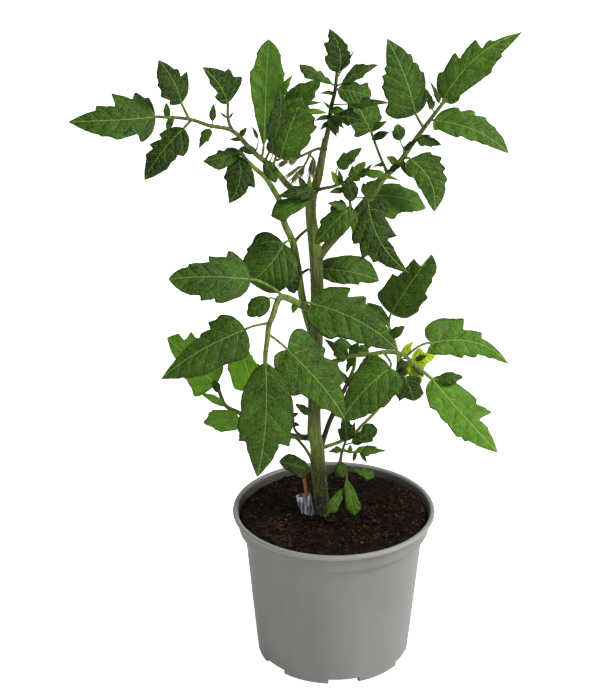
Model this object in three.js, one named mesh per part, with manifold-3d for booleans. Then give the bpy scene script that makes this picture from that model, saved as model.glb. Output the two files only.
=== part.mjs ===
// A young tomato plant in a round nursery pot, in millimetres.
// +Z is up and the origin is the middle of the flat floor disc under the pot.
// The plant leans its leaves to both sides along X; -Y is the side that faces the viewer.
import * as THREE from 'three';
import { mergeVertices } from 'three/addons/utils/BufferGeometryUtils.js';
import Module from 'manifold-3d';

const wasm = await Module();
wasm.setup();

// Pot sizes
const POT_RIM_D = 120;
const POT_HEIGHT = 95;
const LIP_WIDTH = 3;
const LIP_HEIGHT = 2.8;
const COLLAR_D = 112.8;
const COLLAR_DROP = 13;
const BODY_TOP_D = 105.8;
const BODY_FOOT_D = 90.6;
const WALL = 1.6;
const SHOULDER = 1.4;
const LIP_UNDERCUT = 0.5;
const FOOT_ROUND = 1.4;
const FLOOR_THICKNESS = 2.4;
const FLOOR_DISC_D = 66;
const CHANNEL_OUTER_D = 83;
const CHANNEL_HEIGHT = 5;
const CHANNEL_FLOOR = 2;
const DRAFT = 1;
const NOTCH_COUNT = 6;
const NOTCH_WIDTH_DEG = 24;
const NOTCH_HEIGHT = 3.8;
const NOTCH_TURN_DEG = 7.7;
const DRAIN_D = 6;
const DRAIN_SIDES = 8;
const POT_SIDES = 36;
const CUT_MARGIN = 3;

// Soil sizes
const SOIL_LEVEL = 91.2;
const SOIL_EDGE_DROP = 1.5;
const SOIL_EDGE_WIDTH = 2.4;
const SOIL_RINGS = [42, 31, 20, 10, 0];
const SOIL_BUMP = 0.9;
const BUMP_LENGTHS = [20, 23, 8.6, 10.3];
const SOIL_SIDES = 24;
const CLEARANCE = 0.3;

// Plant sizes
const BLADE_THICKNESS = 0.7;
const VEIN_SWEEP = 0.5;
const BASE_SWEEP = 0.15;
const SWEEP_RISE = 3;
const HEART_SHARE = 0.35;
const LIMB_SIDES = 5;
const STALK_D = 1.3;
const STALK_STATIONS = [0, 0.6];
const LONG_STALK_STATIONS = [0, 0.5, 0.85];
const STALK_LEAD = 0.35;
const BUD_STALK_D = 1;
const BUD_TIP_D = 0.6;
const BUD_SIDES = 4;
const BUD_STEPS = 3;
const SESSILE_REACH = 7;
const SEATED_GAP = 0.8;
const LONG_STALK = 9;
const ROOT_SINK = 1.3;
const ROOT_FOLLOW = 0.45;
const LIMB_SAMPLES = 40;

// Which way a leaflet's upper face looks, unless its row says otherwise
const TO_VIEWER = [0, -0.78, 0.62];
const AWAY = [0, 0.85, 0.5];
const UPWARD = [0, -0.45, 0.9];
const RIGHTWARD = [0.6, -0.6, 0.5];

// Leaflet outlines: rows of [share of the length, left half width, right half width]
const OUTLINES = {
  leftEnd: [
    [0, 0, 0], [0.05, 0.52, 0.8], [0.14, 0.8, 1], [0.18, 0.5, 0.72], [0.32, 0.62, 1],
    [0.4, 0.68, 0.5], [0.59, 0.52, 0.56], [0.64, 0.46, 0.37], [0.82, 0.28, 0.23], [1, 0, 0],
  ],
  leftUpperOuter: [
    [0, 0, 0], [0.04, 0.42, 0.35], [0.1, 0.7, 0.55], [0.14, 0.45, 0.65], [0.24, 1, 0.82],
    [0.4, 0.82, 0.93], [0.42, 0.83, 0.48], [0.63, 0.66, 0.5], [0.83, 0.36, 0.24], [1, 0, 0],
  ],
  leftLowerOuter: [
    [0, 0, 0], [0.06, 0.62, 0.45], [0.23, 1, 0.72], [0.27, 0.73, 0.42], [0.42, 0.7, 0.78],
    [0.46, 0.71, 0.48], [0.58, 0.68, 0.6], [0.82, 0.34, 0.28], [1, 0, 0],
  ],
  leftUpperInner: [
    [0, 0, 0], [0.05, 0.22, 0.68], [0.14, 0.35, 1], [0.24, 0.42, 0.68], [0.29, 0.2, 0.7],
    [0.46, 0.26, 0.66], [0.6, 0.28, 0.44], [1, 0, 0],
  ],
  sideHanging: [
    [0, 0, 0], [0.1, 0.5, 0.52], [0.38, 0.95, 1], [0.46, 1, 0.8], [0.49, 0.64, 0.76], [0.7, 0.52, 0.54],
    [1, 0, 0],
  ],
  sideBroad: [
    [0, 0, 0], [0.05, 0.54, 0.5], [0.16, 0.76, 0.8], [0.28, 0.76, 0.74], [0.5, 0.7, 0.64],
    [0.78, 0.52, 0.42], [1, 0, 0],
  ],
  frontHanging: [
    [0, 0, 0], [0.08, 0.5, 0.48], [0.28, 0.96, 0.92], [0.46, 0.92, 1], [0.55, 0.88, 0.74],
    [0.58, 0.54, 0.68], [0.64, 0.58, 0.64], [0.82, 0.34, 0.36], [1, 0, 0],
  ],
  frontLeftFar: [
    [0, 0, 0], [0.05, 0.42, 0.65], [0.17, 0.7, 1], [0.2, 0.74, 0.74], [0.32, 0.9, 0.74],
    [0.42, 0.75, 0.54], [0.51, 0.8, 0.53], [0.69, 0.48, 0.5], [0.84, 0.26, 0.2], [1, 0, 0],
  ],
  frontLeftLow: [
    [0, 0, 0], [0.02, 0.6, 0.55], [0.12, 1, 0.9], [0.22, 0.91, 0.83], [0.25, 0.86, 0.56],
    [0.36, 0.86, 0.58], [0.47, 0.84, 0.44], [0.72, 0.5, 0.28], [1, 0, 0],
  ],
  frontLowRight: [
    [0, 0, 0], [0.02, 0.62, 0.4], [0.08, 0.92, 0.6], [0.2, 0.95, 0.9], [0.24, 0.7, 1],
    [0.34, 0.9, 0.76], [0.56, 0.8, 0.6], [0.61, 0.52, 0.55], [0.86, 0.2, 0.25], [1, 0, 0],
  ],
  frontRight: [
    [0, 0, 0], [0.05, 0.55, 0.55], [0.21, 0.98, 0.97], [0.26, 0.68, 0.9], [0.36, 0.9, 0.8],
    [0.42, 0.68, 0.76], [0.58, 0.66, 0.64], [0.66, 0.46, 0.56], [0.84, 0.26, 0.32], [1, 0, 0],
  ],
  rightEnd: [
    [0, 0, 0], [0.03, 0.6, 0.44], [0.12, 0.97, 0.66], [0.3, 0.95, 0.9], [0.33, 0.53, 0.94],
    [0.54, 0.75, 0.82], [0.59, 0.17, 0.76], [0.68, 0.33, 0.55], [0.84, 0.12, 0.33], [1, 0, 0],
  ],
  rightUpper: [
    [0, 0, 0], [0.04, 0.65, 0.38], [0.15, 1, 0.6], [0.2, 0.8, 0.56], [0.35, 0.88, 0.68],
    [0.39, 0.76, 0.58], [0.52, 0.7, 0.56], [0.64, 0.46, 0.47], [0.82, 0.26, 0.25], [1, 0, 0],
  ],
  rightDrooping: [
    [0, 0, 0], [0.05, 0.6, 0.48], [0.17, 0.92, 0.55], [0.21, 0.68, 0.58], [0.3, 1, 0.66],
    [0.37, 0.74, 0.53], [0.48, 0.88, 0.56], [0.66, 0.62, 0.4], [0.84, 0.34, 0.23], [1, 0, 0],
  ],
  rightHanging: [
    [0, 0, 0], [0.02, 1, 0.2], [0.05, 0.56, 0.3], [0.14, 0.9, 0.48], [0.18, 0.66, 0.55],
    [0.28, 0.72, 0.45], [0.5, 0.58, 0.4], [0.75, 0.32, 0.27], [1, 0, 0],
  ],
  rightOval: [
    [0, 0, 0], [0.06, 0.35, 0.6], [0.22, 0.68, 1], [0.37, 0.8, 0.74], [0.42, 0.66, 0.7],
    [0.63, 0.67, 0.48], [0.76, 0.6, 0.36], [1, 0, 0],
  ],
  rightFront: [
    [0, 0, 0], [0.04, 0.5, 0.5], [0.14, 0.85, 0.85], [0.24, 0.6, 1], [0.28, 0.64, 0.8],
    [0.43, 0.72, 0.98], [0.48, 0.29, 0.72], [0.59, 0.33, 0.7], [0.63, 0.29, 0.5], [1, 0, 0],
  ],
  backRightTop: [
    [0, 0, 0], [0.03, 0.65, 0.45], [0.1, 1, 0.75], [0.2, 0.93, 0.9], [0.37, 0.88, 0.95],
    [0.42, 0.66, 0.78], [0.64, 0.58, 0.72], [0.75, 0.5, 0.6], [0.79, 0.13, 0.55], [1, 0, 0],
  ],
  lowRightUpper: [
    [0, 0, 0], [0.03, 0.64, 0.3], [0.14, 1, 0.56], [0.23, 0.9, 0.62], [0.3, 0.5, 0.72],
    [0.5, 0.5, 0.56], [0.56, 0.27, 0.46], [0.7, 0.2, 0.36], [1, 0, 0],
  ],
  lowRightLight: [
    [0, 0, 0], [0.05, 0.36, 0.52], [0.17, 0.66, 0.82], [0.34, 0.9, 0.76], [0.4, 0.78, 0.8],
    [0.53, 1, 0.72], [0.57, 0.39, 0.69], [0.68, 0.44, 0.52], [0.85, 0.25, 0.3], [1, 0, 0],
  ],
  lowRightInner: [
    [0, 0, 0], [0.03, 0.62, 0.6], [0.12, 0.96, 0.88], [0.28, 1, 0.74], [0.5, 0.8, 0.54],
    [0.72, 0.5, 0.38], [0.88, 0.25, 0.18], [1, 0, 0],
  ],
  topLeaf: [
    [0, 0, 0], [0.06, 0.55, 0.55], [0.29, 1, 0.67], [0.38, 0.76, 0.48], [0.5, 0.78, 0.6],
    [0.63, 0.82, 0.4], [0.67, 0.54, 0.36], [0.84, 0.33, 0.2], [1, 0, 0],
  ],
  topSide: [
    [0, 0, 0], [0.14, 0.2, 0.26], [0.44, 0.9, 0.5], [0.63, 0.85, 0.4], [0.84, 0.48, 0.22], [1, 0, 0],
  ],
  backBroad: [
    [0, 0, 0], [0.03, 0.66, 0.55], [0.09, 1, 0.86], [0.29, 0.73, 0.86], [0.66, 0.42, 0.88],
    [0.73, 0.34, 0.42], [0.87, 0.24, 0.44], [1, 0, 0],
  ],
  behindStem: [
    [0, 0, 0], [0.06, 0.42, 0.38], [0.27, 0.82, 0.74], [0.44, 1, 0.62], [0.58, 0.82, 0.43],
    [0.78, 0.5, 0.26], [1, 0, 0],
  ],
  notched: [
    [0, 0, 0], [0.03, 0.88, 0.66], [0.18, 0.74, 1], [0.36, 1, 0.7], [0.63, 0.56, 0.68], [1, 0, 0],
  ],
  oval: [
    [0, 0, 0], [0.05, 0.74, 0.7], [0.24, 1, 0.96], [0.5, 0.9, 0.96], [0.76, 0.52, 0.56], [1, 0, 0],
  ],
  spoon: [
    [0, 0, 0], [0.14, 0.5, 0.42], [0.38, 0.86, 0.76], [0.6, 1, 1], [0.82, 0.62, 0.7], [1, 0, 0],
  ],
  slim: [
    [0, 0, 0], [0.08, 0.8, 0.6], [0.3, 0.7, 1], [0.6, 0.75, 0.55], [1, 0, 0],
  ],
  tiny: [
    [0, 0, 0], [0.12, 0.8, 0.75], [0.5, 1, 1], [1, 0, 0],
  ],
};

const GREEN = { color: 0x3f6a2a, roughness: 0.6 };
const YELLOW_GREEN = { color: 0x94ab2c, roughness: 0.6 };
const STEM_GREEN = { color: 0x4c5a2f, roughness: 0.7 };
const GREY_PLASTIC = { color: 0x8a8c86, roughness: 0.5 };
const PEAT = { color: 0x22180f, roughness: 1 };
const CLEAR_PLASTIC = { color: 0xa9a7ad, roughness: 0.3 };
const TAN_WOOD = { color: 0xa8673a, roughness: 0.8 };

const group = new THREE.Group();

// Turns a closed geometry into a solid that can be joined and cut
function toSolid(geometry) {
  geometry.deleteAttribute('normal');
  geometry.deleteAttribute('uv');
  const merged = mergeVertices(geometry, 1e-4);
  const vertProperties = new Float32Array(merged.attributes.position.array);
  const triVerts = new Uint32Array(merged.index.array);
  return new wasm.Manifold(new wasm.Mesh({ numProp: 3, vertProperties, triVerts }));
}

function toGeometry(solid) {
  const mesh = solid.getMesh();
  const geometry = new THREE.BufferGeometry();
  geometry.setAttribute('position', new THREE.BufferAttribute(mesh.vertProperties, 3));
  geometry.setIndex(new THREE.BufferAttribute(mesh.triVerts, 1));
  geometry.computeVertexNormals();
  return geometry;
}

function addNode(name, solid, finish) {
  const material = new THREE.MeshStandardMaterial({ ...finish, metalness: 0 });
  const mesh = new THREE.Mesh(toGeometry(solid), material);
  mesh.name = name;
  group.add(mesh);
  return solid;
}

const vec = ([x, y, z]) => new THREE.Vector3(x, y, z);

// Diameter at a share t of the way along a list of evenly spread diameters
function girthAt(girths, t) {
  const place = t * (girths.length - 1);
  const low = Math.min(Math.floor(place), girths.length - 2);
  return THREE.MathUtils.lerp(girths[low], girths[low + 1], place - low);
}

// A closed cylinder bent along a curve, with its diameter following the girths
function limbOnCurve(curve, girths, sides, steps, grow = 0) {
  const geometry = new THREE.CylinderGeometry(1, 1, 1, sides, steps);
  const frames = curve.computeFrenetFrames(steps);
  const position = geometry.attributes.position;
  for (let i = 0; i < position.count; i += 1) {
    const step = Math.round((0.5 + position.getY(i)) * steps);
    const radius = girthAt(girths, step / steps) / 2 + grow;
    const point = curve.getPointAt(step / steps);
    point.addScaledVector(frames.binormals[step], position.getX(i) * radius);
    point.addScaledVector(frames.normals[step], position.getZ(i) * radius);
    position.setXYZ(i, point.x, point.y, point.z);
  }
  return toSolid(geometry);
}

function limb({ path, girths, sides = LIMB_SIDES, steps = path.length * 2 }, grow = 0) {
  return limbOnCurve(new THREE.CatmullRomCurve3(path.map(vec)), girths, sides, steps, grow);
}

// A thin arched leaflet blade, which starts as a narrow stalk where a line for one is given.
// Both faces share one set of triangles, so they never cross.
function blade([outline, base, tip, width, look = {}], stalkLine = null) {
  const { face = TO_VIEWER, bulge = 0.08, fold = -0.12, bend = 0, heart = 0.04 } = look;
  const along = vec(tip).sub(vec(base)).normalize();
  const foot = vec(base).addScaledVector(along, stalkLine ? 0 : -ROOT_SINK);
  const length = vec(tip).distanceTo(foot);
  const out = vec(face);
  out.addScaledVector(along, -out.dot(along)).normalize();
  const across = new THREE.Vector3().crossVectors(along, out);
  const place = (share, sideways) => {
    const reach = 2 * Math.abs(sideways) / width;
    const sweep = VEIN_SWEEP * Math.min(1, BASE_SWEEP + SWEEP_RISE * share);
    const back = heart * length * reach * Math.max(0, 1 - share / HEART_SHARE) ** 2;
    const forward = share * length + sweep * Math.abs(sideways) - back;
    const arch = length * 4 * (forward / length) * (1 - forward / length);
    return foot.clone().addScaledVector(along, forward)
      .addScaledVector(across, sideways + bend * arch)
      .addScaledVector(out, bulge * arch + fold * Math.abs(sideways));
  };
  const stations = stalkLine ? stalkStations(stalkLine, across) : [];
  for (const [share, leftHalf, rightHalf] of OUTLINES[outline]) {
    const least = stalkLine && share === 0 ? STALK_D / 2 : 0;
    stations.push({
      centre: place(share, 0),
      left: place(share, -Math.max(leftHalf * width / 2, least)),
      right: place(share, Math.max(rightHalf * width / 2, least)),
      thick: out.clone().multiplyScalar(BLADE_THICKNESS / 2),
    });
  }
  return thinSolid(stations);
}

// The stations of a square stalk, each square to the line's own direction
function stalkStations(line, across) {
  const shares = line.getLength() > LONG_STALK ? LONG_STALK_STATIONS : STALK_STATIONS;
  return shares.map((share) => {
    const centre = line.getPoint(share);
    const tangent = line.getTangent(share);
    const sideways = across.clone().addScaledVector(tangent, -across.dot(tangent)).normalize();
    const up = new THREE.Vector3().crossVectors(sideways, tangent);
    return {
      centre,
      left: centre.clone().addScaledVector(sideways, -STALK_D / 2),
      right: centre.clone().addScaledVector(sideways, STALK_D / 2),
      thick: up.multiplyScalar(STALK_D / 2),
    };
  });
}

// A closed thin solid through stations of left, centre and right points, pointed at both ends
function thinSolid(stations) {
  const last = stations.length - 1;
  const inner = stations.slice(1, last);
  const points = [
    ...stations.map(({ centre, thick }) => [centre, thick]),
    ...inner.map(({ left, thick }) => [left, thick]),
    ...inner.map(({ right, thick }) => [right, thick]),
  ];
  const count = points.length;
  const leftOf = (i) => (i === 0 || i === last ? i : last + i);
  const rightOf = (i) => (i === 0 || i === last ? i : 2 * last - 1 + i);
  const positions = [];
  for (const side of [1, -1]) {
    for (const [point, thick] of points) {
      positions.push(...point.clone().addScaledVector(thick, side).toArray());
    }
  }
  const triangles = [];
  for (let i = 0; i < last; i += 1) {
    const [l0, l1, r0, r1] = [leftOf(i), leftOf(i + 1), rightOf(i), rightOf(i + 1)];
    for (const [a, b, c] of [[i, i + 1, l1], [i, l1, l0], [i, r1, i + 1], [i, r0, r1]]) {
      triangles.push([a, b, c], [a + count, c + count, b + count]);
    }
    triangles.push([l0, l1, l1 + count], [l0, l1 + count, l0 + count]);
    triangles.push([r1, r0, r0 + count], [r1, r0 + count, r1 + count]);
  }
  const whole = triangles.filter(([a, b, c]) => a !== b && b !== c && c !== a);
  const geometry = new THREE.BufferGeometry();
  geometry.setAttribute('position', new THREE.Float32BufferAttribute(positions, 3));
  geometry.setIndex(whole.flat());
  return toSolid(geometry);
}

// The point on the limbs that is nearest to a leaflet's base
function nearestOnLimbs(foot, limbs) {
  let nearest = { gap: Infinity };
  for (const { path } of limbs) {
    const curve = new THREE.CatmullRomCurve3(path.map(vec));
    for (let i = 0; i <= LIMB_SAMPLES; i += 1) {
      const point = curve.getPointAt(i / LIMB_SAMPLES);
      const gap = point.distanceTo(foot);
      if (gap < nearest.gap) {
        nearest = { gap, point, curve, at: i / LIMB_SAMPLES };
      }
    }
  }
  return nearest;
}

// The bent line from a limb to a leaflet's base, leaving the limb at a slant
function stalkCurve(foot, along, { gap, curve, at }) {
  const back = ROOT_FOLLOW * gap / curve.getLength();
  const start = curve.getPointAt(Math.max(at - back, 0));
  const bend = foot.clone().addScaledVector(along, -STALK_LEAD * gap);
  return new THREE.QuadraticBezierCurve3(start, bend, foot);
}

// A leaflet. A tiny one close to its limb grows straight from it, and others have a stalk.
function leaflet([outline, base, tip, width, look], limbs) {
  const foot = vec(base);
  const nearest = nearestOnLimbs(foot, limbs);
  if (outline === 'tiny' && nearest.gap < SESSILE_REACH) {
    return blade([outline, nearest.point.toArray(), tip, width, look]);
  }
  if (nearest.gap < SEATED_GAP) {
    return blade([outline, base, tip, width, look]);
  }
  const along = vec(tip).sub(foot).normalize();
  return blade([outline, base, tip, width, look], stalkCurve(foot, along, nearest));
}

function join(solids) {
  return solids.reduce((whole, next) => whole.add(next));
}

// A pointed flower bud on its stalk, turned as one slim spindle
function bud([base, tip, width], limbs) {
  const foot = vec(base);
  const along = vec(tip).sub(foot).normalize();
  const stem = stalkCurve(foot, along, nearestOnLimbs(foot, limbs));
  const line = new THREE.CatmullRomCurve3([stem.v0, foot, vec(tip)]);
  return limbOnCurve(line, [BUD_STALK_D, BUD_STALK_D, width, BUD_TIP_D], BUD_SIDES, BUD_STEPS);
}

// One compound leaf or leafy shoot: its limbs, leaflets and stalks fused, and cut clear of what bears it
function leafSolid({ limbs, leaflets, buds = [] }, bearers) {
  const pieces = limbs.map((one) => limb(one));
  for (const row of leaflets) {
    pieces.push(leaflet(row, limbs));
  }
  for (const row of buds) {
    pieces.push(bud(row, limbs));
  }
  return bearers.reduce((whole, bearer) => whole.subtract(bearer), join(pieces));
}

// A solid of revolution about Z from [radius, height] points that start and end on the axis
function turned(profile, sides) {
  const geometry = new THREE.LatheGeometry(profile.map(([r, z]) => new THREE.Vector2(r, z)), sides);
  geometry.rotateX(Math.PI / 2);
  return geometry;
}

// Pot
const rimR = POT_RIM_D / 2;
const collarR = COLLAR_D / 2;
const bodyTopR = BODY_TOP_D / 2;
const bodyFootR = BODY_FOOT_D / 2;
const collarFoot = POT_HEIGHT - COLLAR_DROP;
const discR = FLOOR_DISC_D / 2;
const channelR = CHANNEL_OUTER_D / 2;
const channelTop = CHANNEL_HEIGHT + CHANNEL_FLOOR;
const lipFoot = POT_HEIGHT - LIP_HEIGHT;
const potProfile = [
  [0, 0], [discR, 0], [discR + DRAFT, CHANNEL_HEIGHT], [channelR - DRAFT, CHANNEL_HEIGHT], [channelR, 0],
  [bodyFootR - FOOT_ROUND, 0], [bodyFootR, FOOT_ROUND],
  [bodyTopR, collarFoot], [collarR, collarFoot + SHOULDER],
  [collarR + LIP_UNDERCUT, lipFoot - LIP_UNDERCUT], [rimR - LIP_UNDERCUT, lipFoot],
  [rimR, lipFoot + LIP_HEIGHT / 2], [rimR - LIP_UNDERCUT, POT_HEIGHT], [rimR - LIP_WIDTH, POT_HEIGHT],
  [collarR - WALL, collarFoot + WALL], [bodyTopR - WALL, collarFoot - DRAFT],
  [bodyFootR - WALL, channelTop], [discR - DRAFT, channelTop],
  [discR - 2 * DRAFT, FLOOR_THICKNESS], [0, FLOOR_THICKNESS],
];
function ringSector(innerR, outerR, low, high, middleDeg, widthDeg) {
  const shape = new THREE.Shape();
  const start = THREE.MathUtils.degToRad(middleDeg - widthDeg / 2);
  const end = THREE.MathUtils.degToRad(middleDeg + widthDeg / 2);
  shape.absarc(0, 0, outerR, start, end, false);
  shape.absarc(0, 0, innerR, end, start, true);
  const depth = high - low;
  const geometry = new THREE.ExtrudeGeometry(shape, { depth, bevelEnabled: false, curveSegments: 2 });
  geometry.translate(0, 0, low);
  return toSolid(geometry);
}
let pot = toSolid(turned(potProfile, POT_SIDES));
const drainMiddleR = (discR + channelR) / 2;
for (let i = 0; i < NOTCH_COUNT; i += 1) {
  const turnDeg = -90 + NOTCH_TURN_DEG + i * 360 / NOTCH_COUNT;
  pot = pot.subtract(
    ringSector(
      channelR - 2 * DRAFT, bodyFootR + CUT_MARGIN, -CUT_MARGIN, NOTCH_HEIGHT, turnDeg, NOTCH_WIDTH_DEG,
    ),
  );
  const drainDepth = CHANNEL_FLOOR + 2 * CUT_MARGIN;
  const drain = new THREE.CylinderGeometry(DRAIN_D / 2, DRAIN_D / 2, drainDepth, DRAIN_SIDES);
  drain.rotateX(Math.PI / 2);
  const turn = THREE.MathUtils.degToRad(turnDeg);
  drain.translate(drainMiddleR * Math.cos(turn), drainMiddleR * Math.sin(turn), channelTop);
  pot = pot.subtract(toSolid(drain));
}
addNode('pot', pot, GREY_PLASTIC);

// Main stem: it stands in the soil and carries every leaf
const STEM = {
  path: [
    [-5, 0, 60], [-5.5, 0, 86], [-7, 0, 98], [-8.5, 0, 113], [-9.5, 0, 130], [-11.5, 0, 145],
    [-11.5, 0, 178], [-10.5, 0, 210], [-10.5, 0, 245], [-12, 0, 264], [-14, 0, 282], [-13, 0, 291],
    [-10, 0, 301], [-8, 0, 312], [-6, 0, 324],
  ],
  girths: [6, 7.7, 8.1, 7.5, 7.4, 7.5, 7.2, 5.6, 3.8],
  sides: 8,
  steps: 22,
};
const stem = limb(STEM);
const stemRoom = limb(STEM, CLEARANCE);
addNode('main_stem', stem, STEM_GREEN);

// Compound leaves and shoots, each fused in one node
const PLANT = {
  leaf_upper_left: {
    limbs: [
      {
        path: [
          [-13, 0, 284], [-20, -3, 292], [-27, -5, 299], [-35, -7, 310], [-41, -8, 315],
          [-47, -9, 321], [-57, -10, 332], [-69, -11, 335], [-80, -12, 339], [-97, -14, 341],
        ],
        girths: [4.4, 3.4, 2.7, 2.1, 1.6],
        steps: 14,
      },
      { path: [[-35, -7, 310], [-33, -1, 315], [-30, 4, 325], [-27, 5, 340]], girths: [1.6, 1.2], steps: 4 },
      { path: [[-57, -10, 332], [-59, -9, 338], [-59, -9, 346]], girths: [1.8, 1.4], steps: 3 },
    ],
    leaflets: [
      ['leftEnd', [-98, -14, 341], [-144, -24, 342], 32, { bend: -0.05 }],
      ['leftUpperOuter', [-84, -12, 348], [-95, -16, 373], 19.5, { bend: 0.05 }],
      ['tiny', [-91, -13, 343], [-92, -14, 349], 4],
      ['tiny', [-90, -13, 338], [-92, -15, 333], 4],
      ['leftLowerOuter', [-83, -13, 334], [-105, -20, 307], 21.5, { bend: 0.02 }],
      ['tiny', [-67.5, -12, 338], [-66.5, -14, 348], 4],
      ['slim', [-69, -11, 333], [-75, -14, 323], 7],
      ['leftUpperInner', [-59, -9, 347], [-72, -12, 368], 27.5, { bend: 0.06 }],
      ['tiny', [-53, -9, 328], [-49, -10, 333.5], 3.4],
      ['oval', [-44, -9, 320], [-53, -11, 322], 5.6],
      ['spoon', [-40, -4, 320], [-37, 2, 380], 19.5, { face: AWAY }],
      ['oval', [-31, -2, 313], [-19, 1, 347], 27],
      ['oval', [-29, 5, 338], [-9, 7, 355], 14],
      ['slim', [-32, 6, 346], [-24, 8, 358], 7],
      ['oval', [-35, -10, 325], [-30, -13, 356], 15, { face: RIGHTWARD }],
      ['oval', [-39, -11, 315], [-33, -16, 304], 8],
    ],
  },
  leaf_side_left: {
    limbs: [
      {
        path: [
          [-12, 1, 203], [-16, 3, 216], [-19, 3, 230], [-21, 2, 245], [-24, 0, 263], [-29, 1, 275],
          [-31, 2, 286], [-35, 2, 294], [-39, 1, 301], [-45, 0, 307], [-50, -2, 313], [-53, -4, 319],
        ],
        girths: [4.6, 4.4, 4.2, 3.8, 3, 2],
        steps: 18,
      },
      { path: [[-24, 1, 262], [-20, 3, 266], [-16, 5, 269]], girths: [2.2, 1.6], steps: 2 },
      { path: [[-21, 2, 242], [-18, 3, 244], [-15, 5, 245]], girths: [2, 1.6], steps: 2 },
    ],
    leaflets: [
      ['sideHanging', [-54, -5, 316], [-59, -16, 292], 18, { bulge: 0.12, bend: -0.14 }],
      ['notched', [-53, -5, 318], [-73, -11, 315], 13, { bend: -0.06 }],
      ['sideBroad', [-29, -7, 265], [-48, -15, 245], 43, { bulge: 0.1, bend: -0.09, heart: 0.2 }],
      ['oval', [-29, -4, 260], [-23, -6, 234], 15],
    ],
  },
  leaf_upper_right: {
    limbs: [
      {
        path: [
          [-10, 0, 254], [-3, 3, 262], [2, 5, 267], [9, 7, 275], [16, 8, 284], [21, 9, 289],
          [27, 10, 298], [34, 10, 305], [43, 12, 318], [48.5, 12, 326], [54, 12, 334], [61, 13, 343],
        ],
        girths: [5.2, 4.8, 4, 3.2, 2.6, 1.8],
        steps: 16,
      },
      { path: [[29, 10, 300], [24, 9, 312], [19, 8, 326]], girths: [1.8, 1.4], steps: 4 },
    ],
    leaflets: [
      ['rightEnd', [59, 13, 342], [102, 24, 378], 23, { bend: -0.08 }],
      ['slim', [57, 12, 341], [51, 10, 354], 4],
      ['rightUpper', [44, 13, 334], [28, 15, 376], 32.5, { bend: 0.02, heart: 0.08 }],
      ['slim', [53, 12, 337], [50, 14, 348], 5],
      ['rightDrooping', [54, 11, 331], [96, 6, 314], 22.5, { bend: -0.06 }],
      ['oval', [33, 9, 324.5], [33.6, 7, 334.5], 7.4],
      ['slim', [37.6, 8, 315], [47.5, 4, 324], 4],
      ['notched', [45, 11, 320], [59, 14, 316], 8],
      ['rightHanging', [41, 7, 310], [55, -2, 282], 31.5, { bend: -0.14 }],
      ['tiny', [35, 8, 306], [28, 5, 312], 5],
      ['tiny', [37, 9, 308], [40, 4, 301], 4],
      ['oval', [19, 7, 326], [7, 2, 349], 22],
      ['tiny', [20, 8, 327], [28, 7, 332], 4],
      ['rightOval', [20, 14, 286], [52, 20, 277], 31.5, { face: UPWARD }],
      ['rightFront', [18, 0, 287], [41, -16, 251], 27.5, { bend: 0.13 }],
    ],
  },
  shoot_upper_front: {
    limbs: [
      {
        path: [[-12, -2, 294], [-8, -6, 297], [-2, -8, 299], [5, -8, 302], [9, -8, 304]],
        girths: [2.2, 1.8, 1.4],
        steps: 6,
      },
      { path: [[3, -8, 301], [6, -8, 295], [8, -7, 288], [9, -6, 282]], girths: [1.6, 1.3], steps: 4 },
    ],
    leaflets: [
      ['slim', [15, -9, 308], [35, -12, 304], 6],
      ['notched', [9, -8, 304], [16, -6, 313], 9],
      ['notched', [1, -8, 310], [14, -6, 321], 9],
      ['tiny', [0, -8, 303], [-3, -10, 309], 4],
      ['oval', [9, -9, 291], [6, -12, 306], 9],
      ['notched', [16, -7, 293], [21, -9, 303], 10],
      ['tiny', [4, -9, 297], [-4, -12, 297], 4],
      ['slim', [6, -9, 287], [-5, -12, 291], 8],
      ['notched', [7, -10, 287], [-12, -16, 268], 17],
      ['slim', [10, -9, 285], [9, -13, 273], 6],
    ],
  },
  shoot_upper_left: {
    limbs: [
      {
        path: [[-13, -2, 291], [-14, -6, 294], [-17, -8, 297]],
        girths: [2.2, 1.5],
        steps: 3,
      },
    ],
    leaflets: [
      ['notched', [-12, -9, 297], [-32, -15, 296], 10],
      ['spoon', [-12, -8, 294], [-36, -16, 285], 12],
      ['tiny', [-17, -8, 297], [-21, -10, 306], 4],
    ],
  },
  flower_truss: {
    limbs: [
      {
        path: [[-8, 0, 317], [-9, -2, 319], [-14, -7, 319], [-20, -10, 317], [-26, -13, 316]],
        girths: [1.8, 1.5, 1.2],
        steps: 6,
      },
      { path: [[-14, -7, 319], [-17, -10, 313], [-21, -13, 309]], girths: [1.3, 1.1], steps: 3 },
    ],
    leaflets: [],
    buds: [
      [[-27, -14, 315], [-32, -15, 313], 2.6],
      [[-22, -12, 316], [-26, -14, 314], 2.2],
      [[-22, -13, 308], [-25, -15, 303], 2.8],
      [[-21, -12, 311], [-28, -14, 306], 1.8],
      [[-18, -11, 312], [-20, -13, 306], 2.4],
      [[-13, -9, 315], [-15, -12, 306], 2.6],
      [[-12, -8, 314], [-13, -11, 305], 2.2],
    ],
  },
  shoot_top: {
    limbs: [
      {
        path: [[-7, 0, 318], [-5, 0, 327], [-4, 0, 334], [-3, 0, 342], [-1, 0, 351], [0, 0, 362]],
        girths: [3.2, 2.8, 2.4, 2.1, 1.7],
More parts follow.
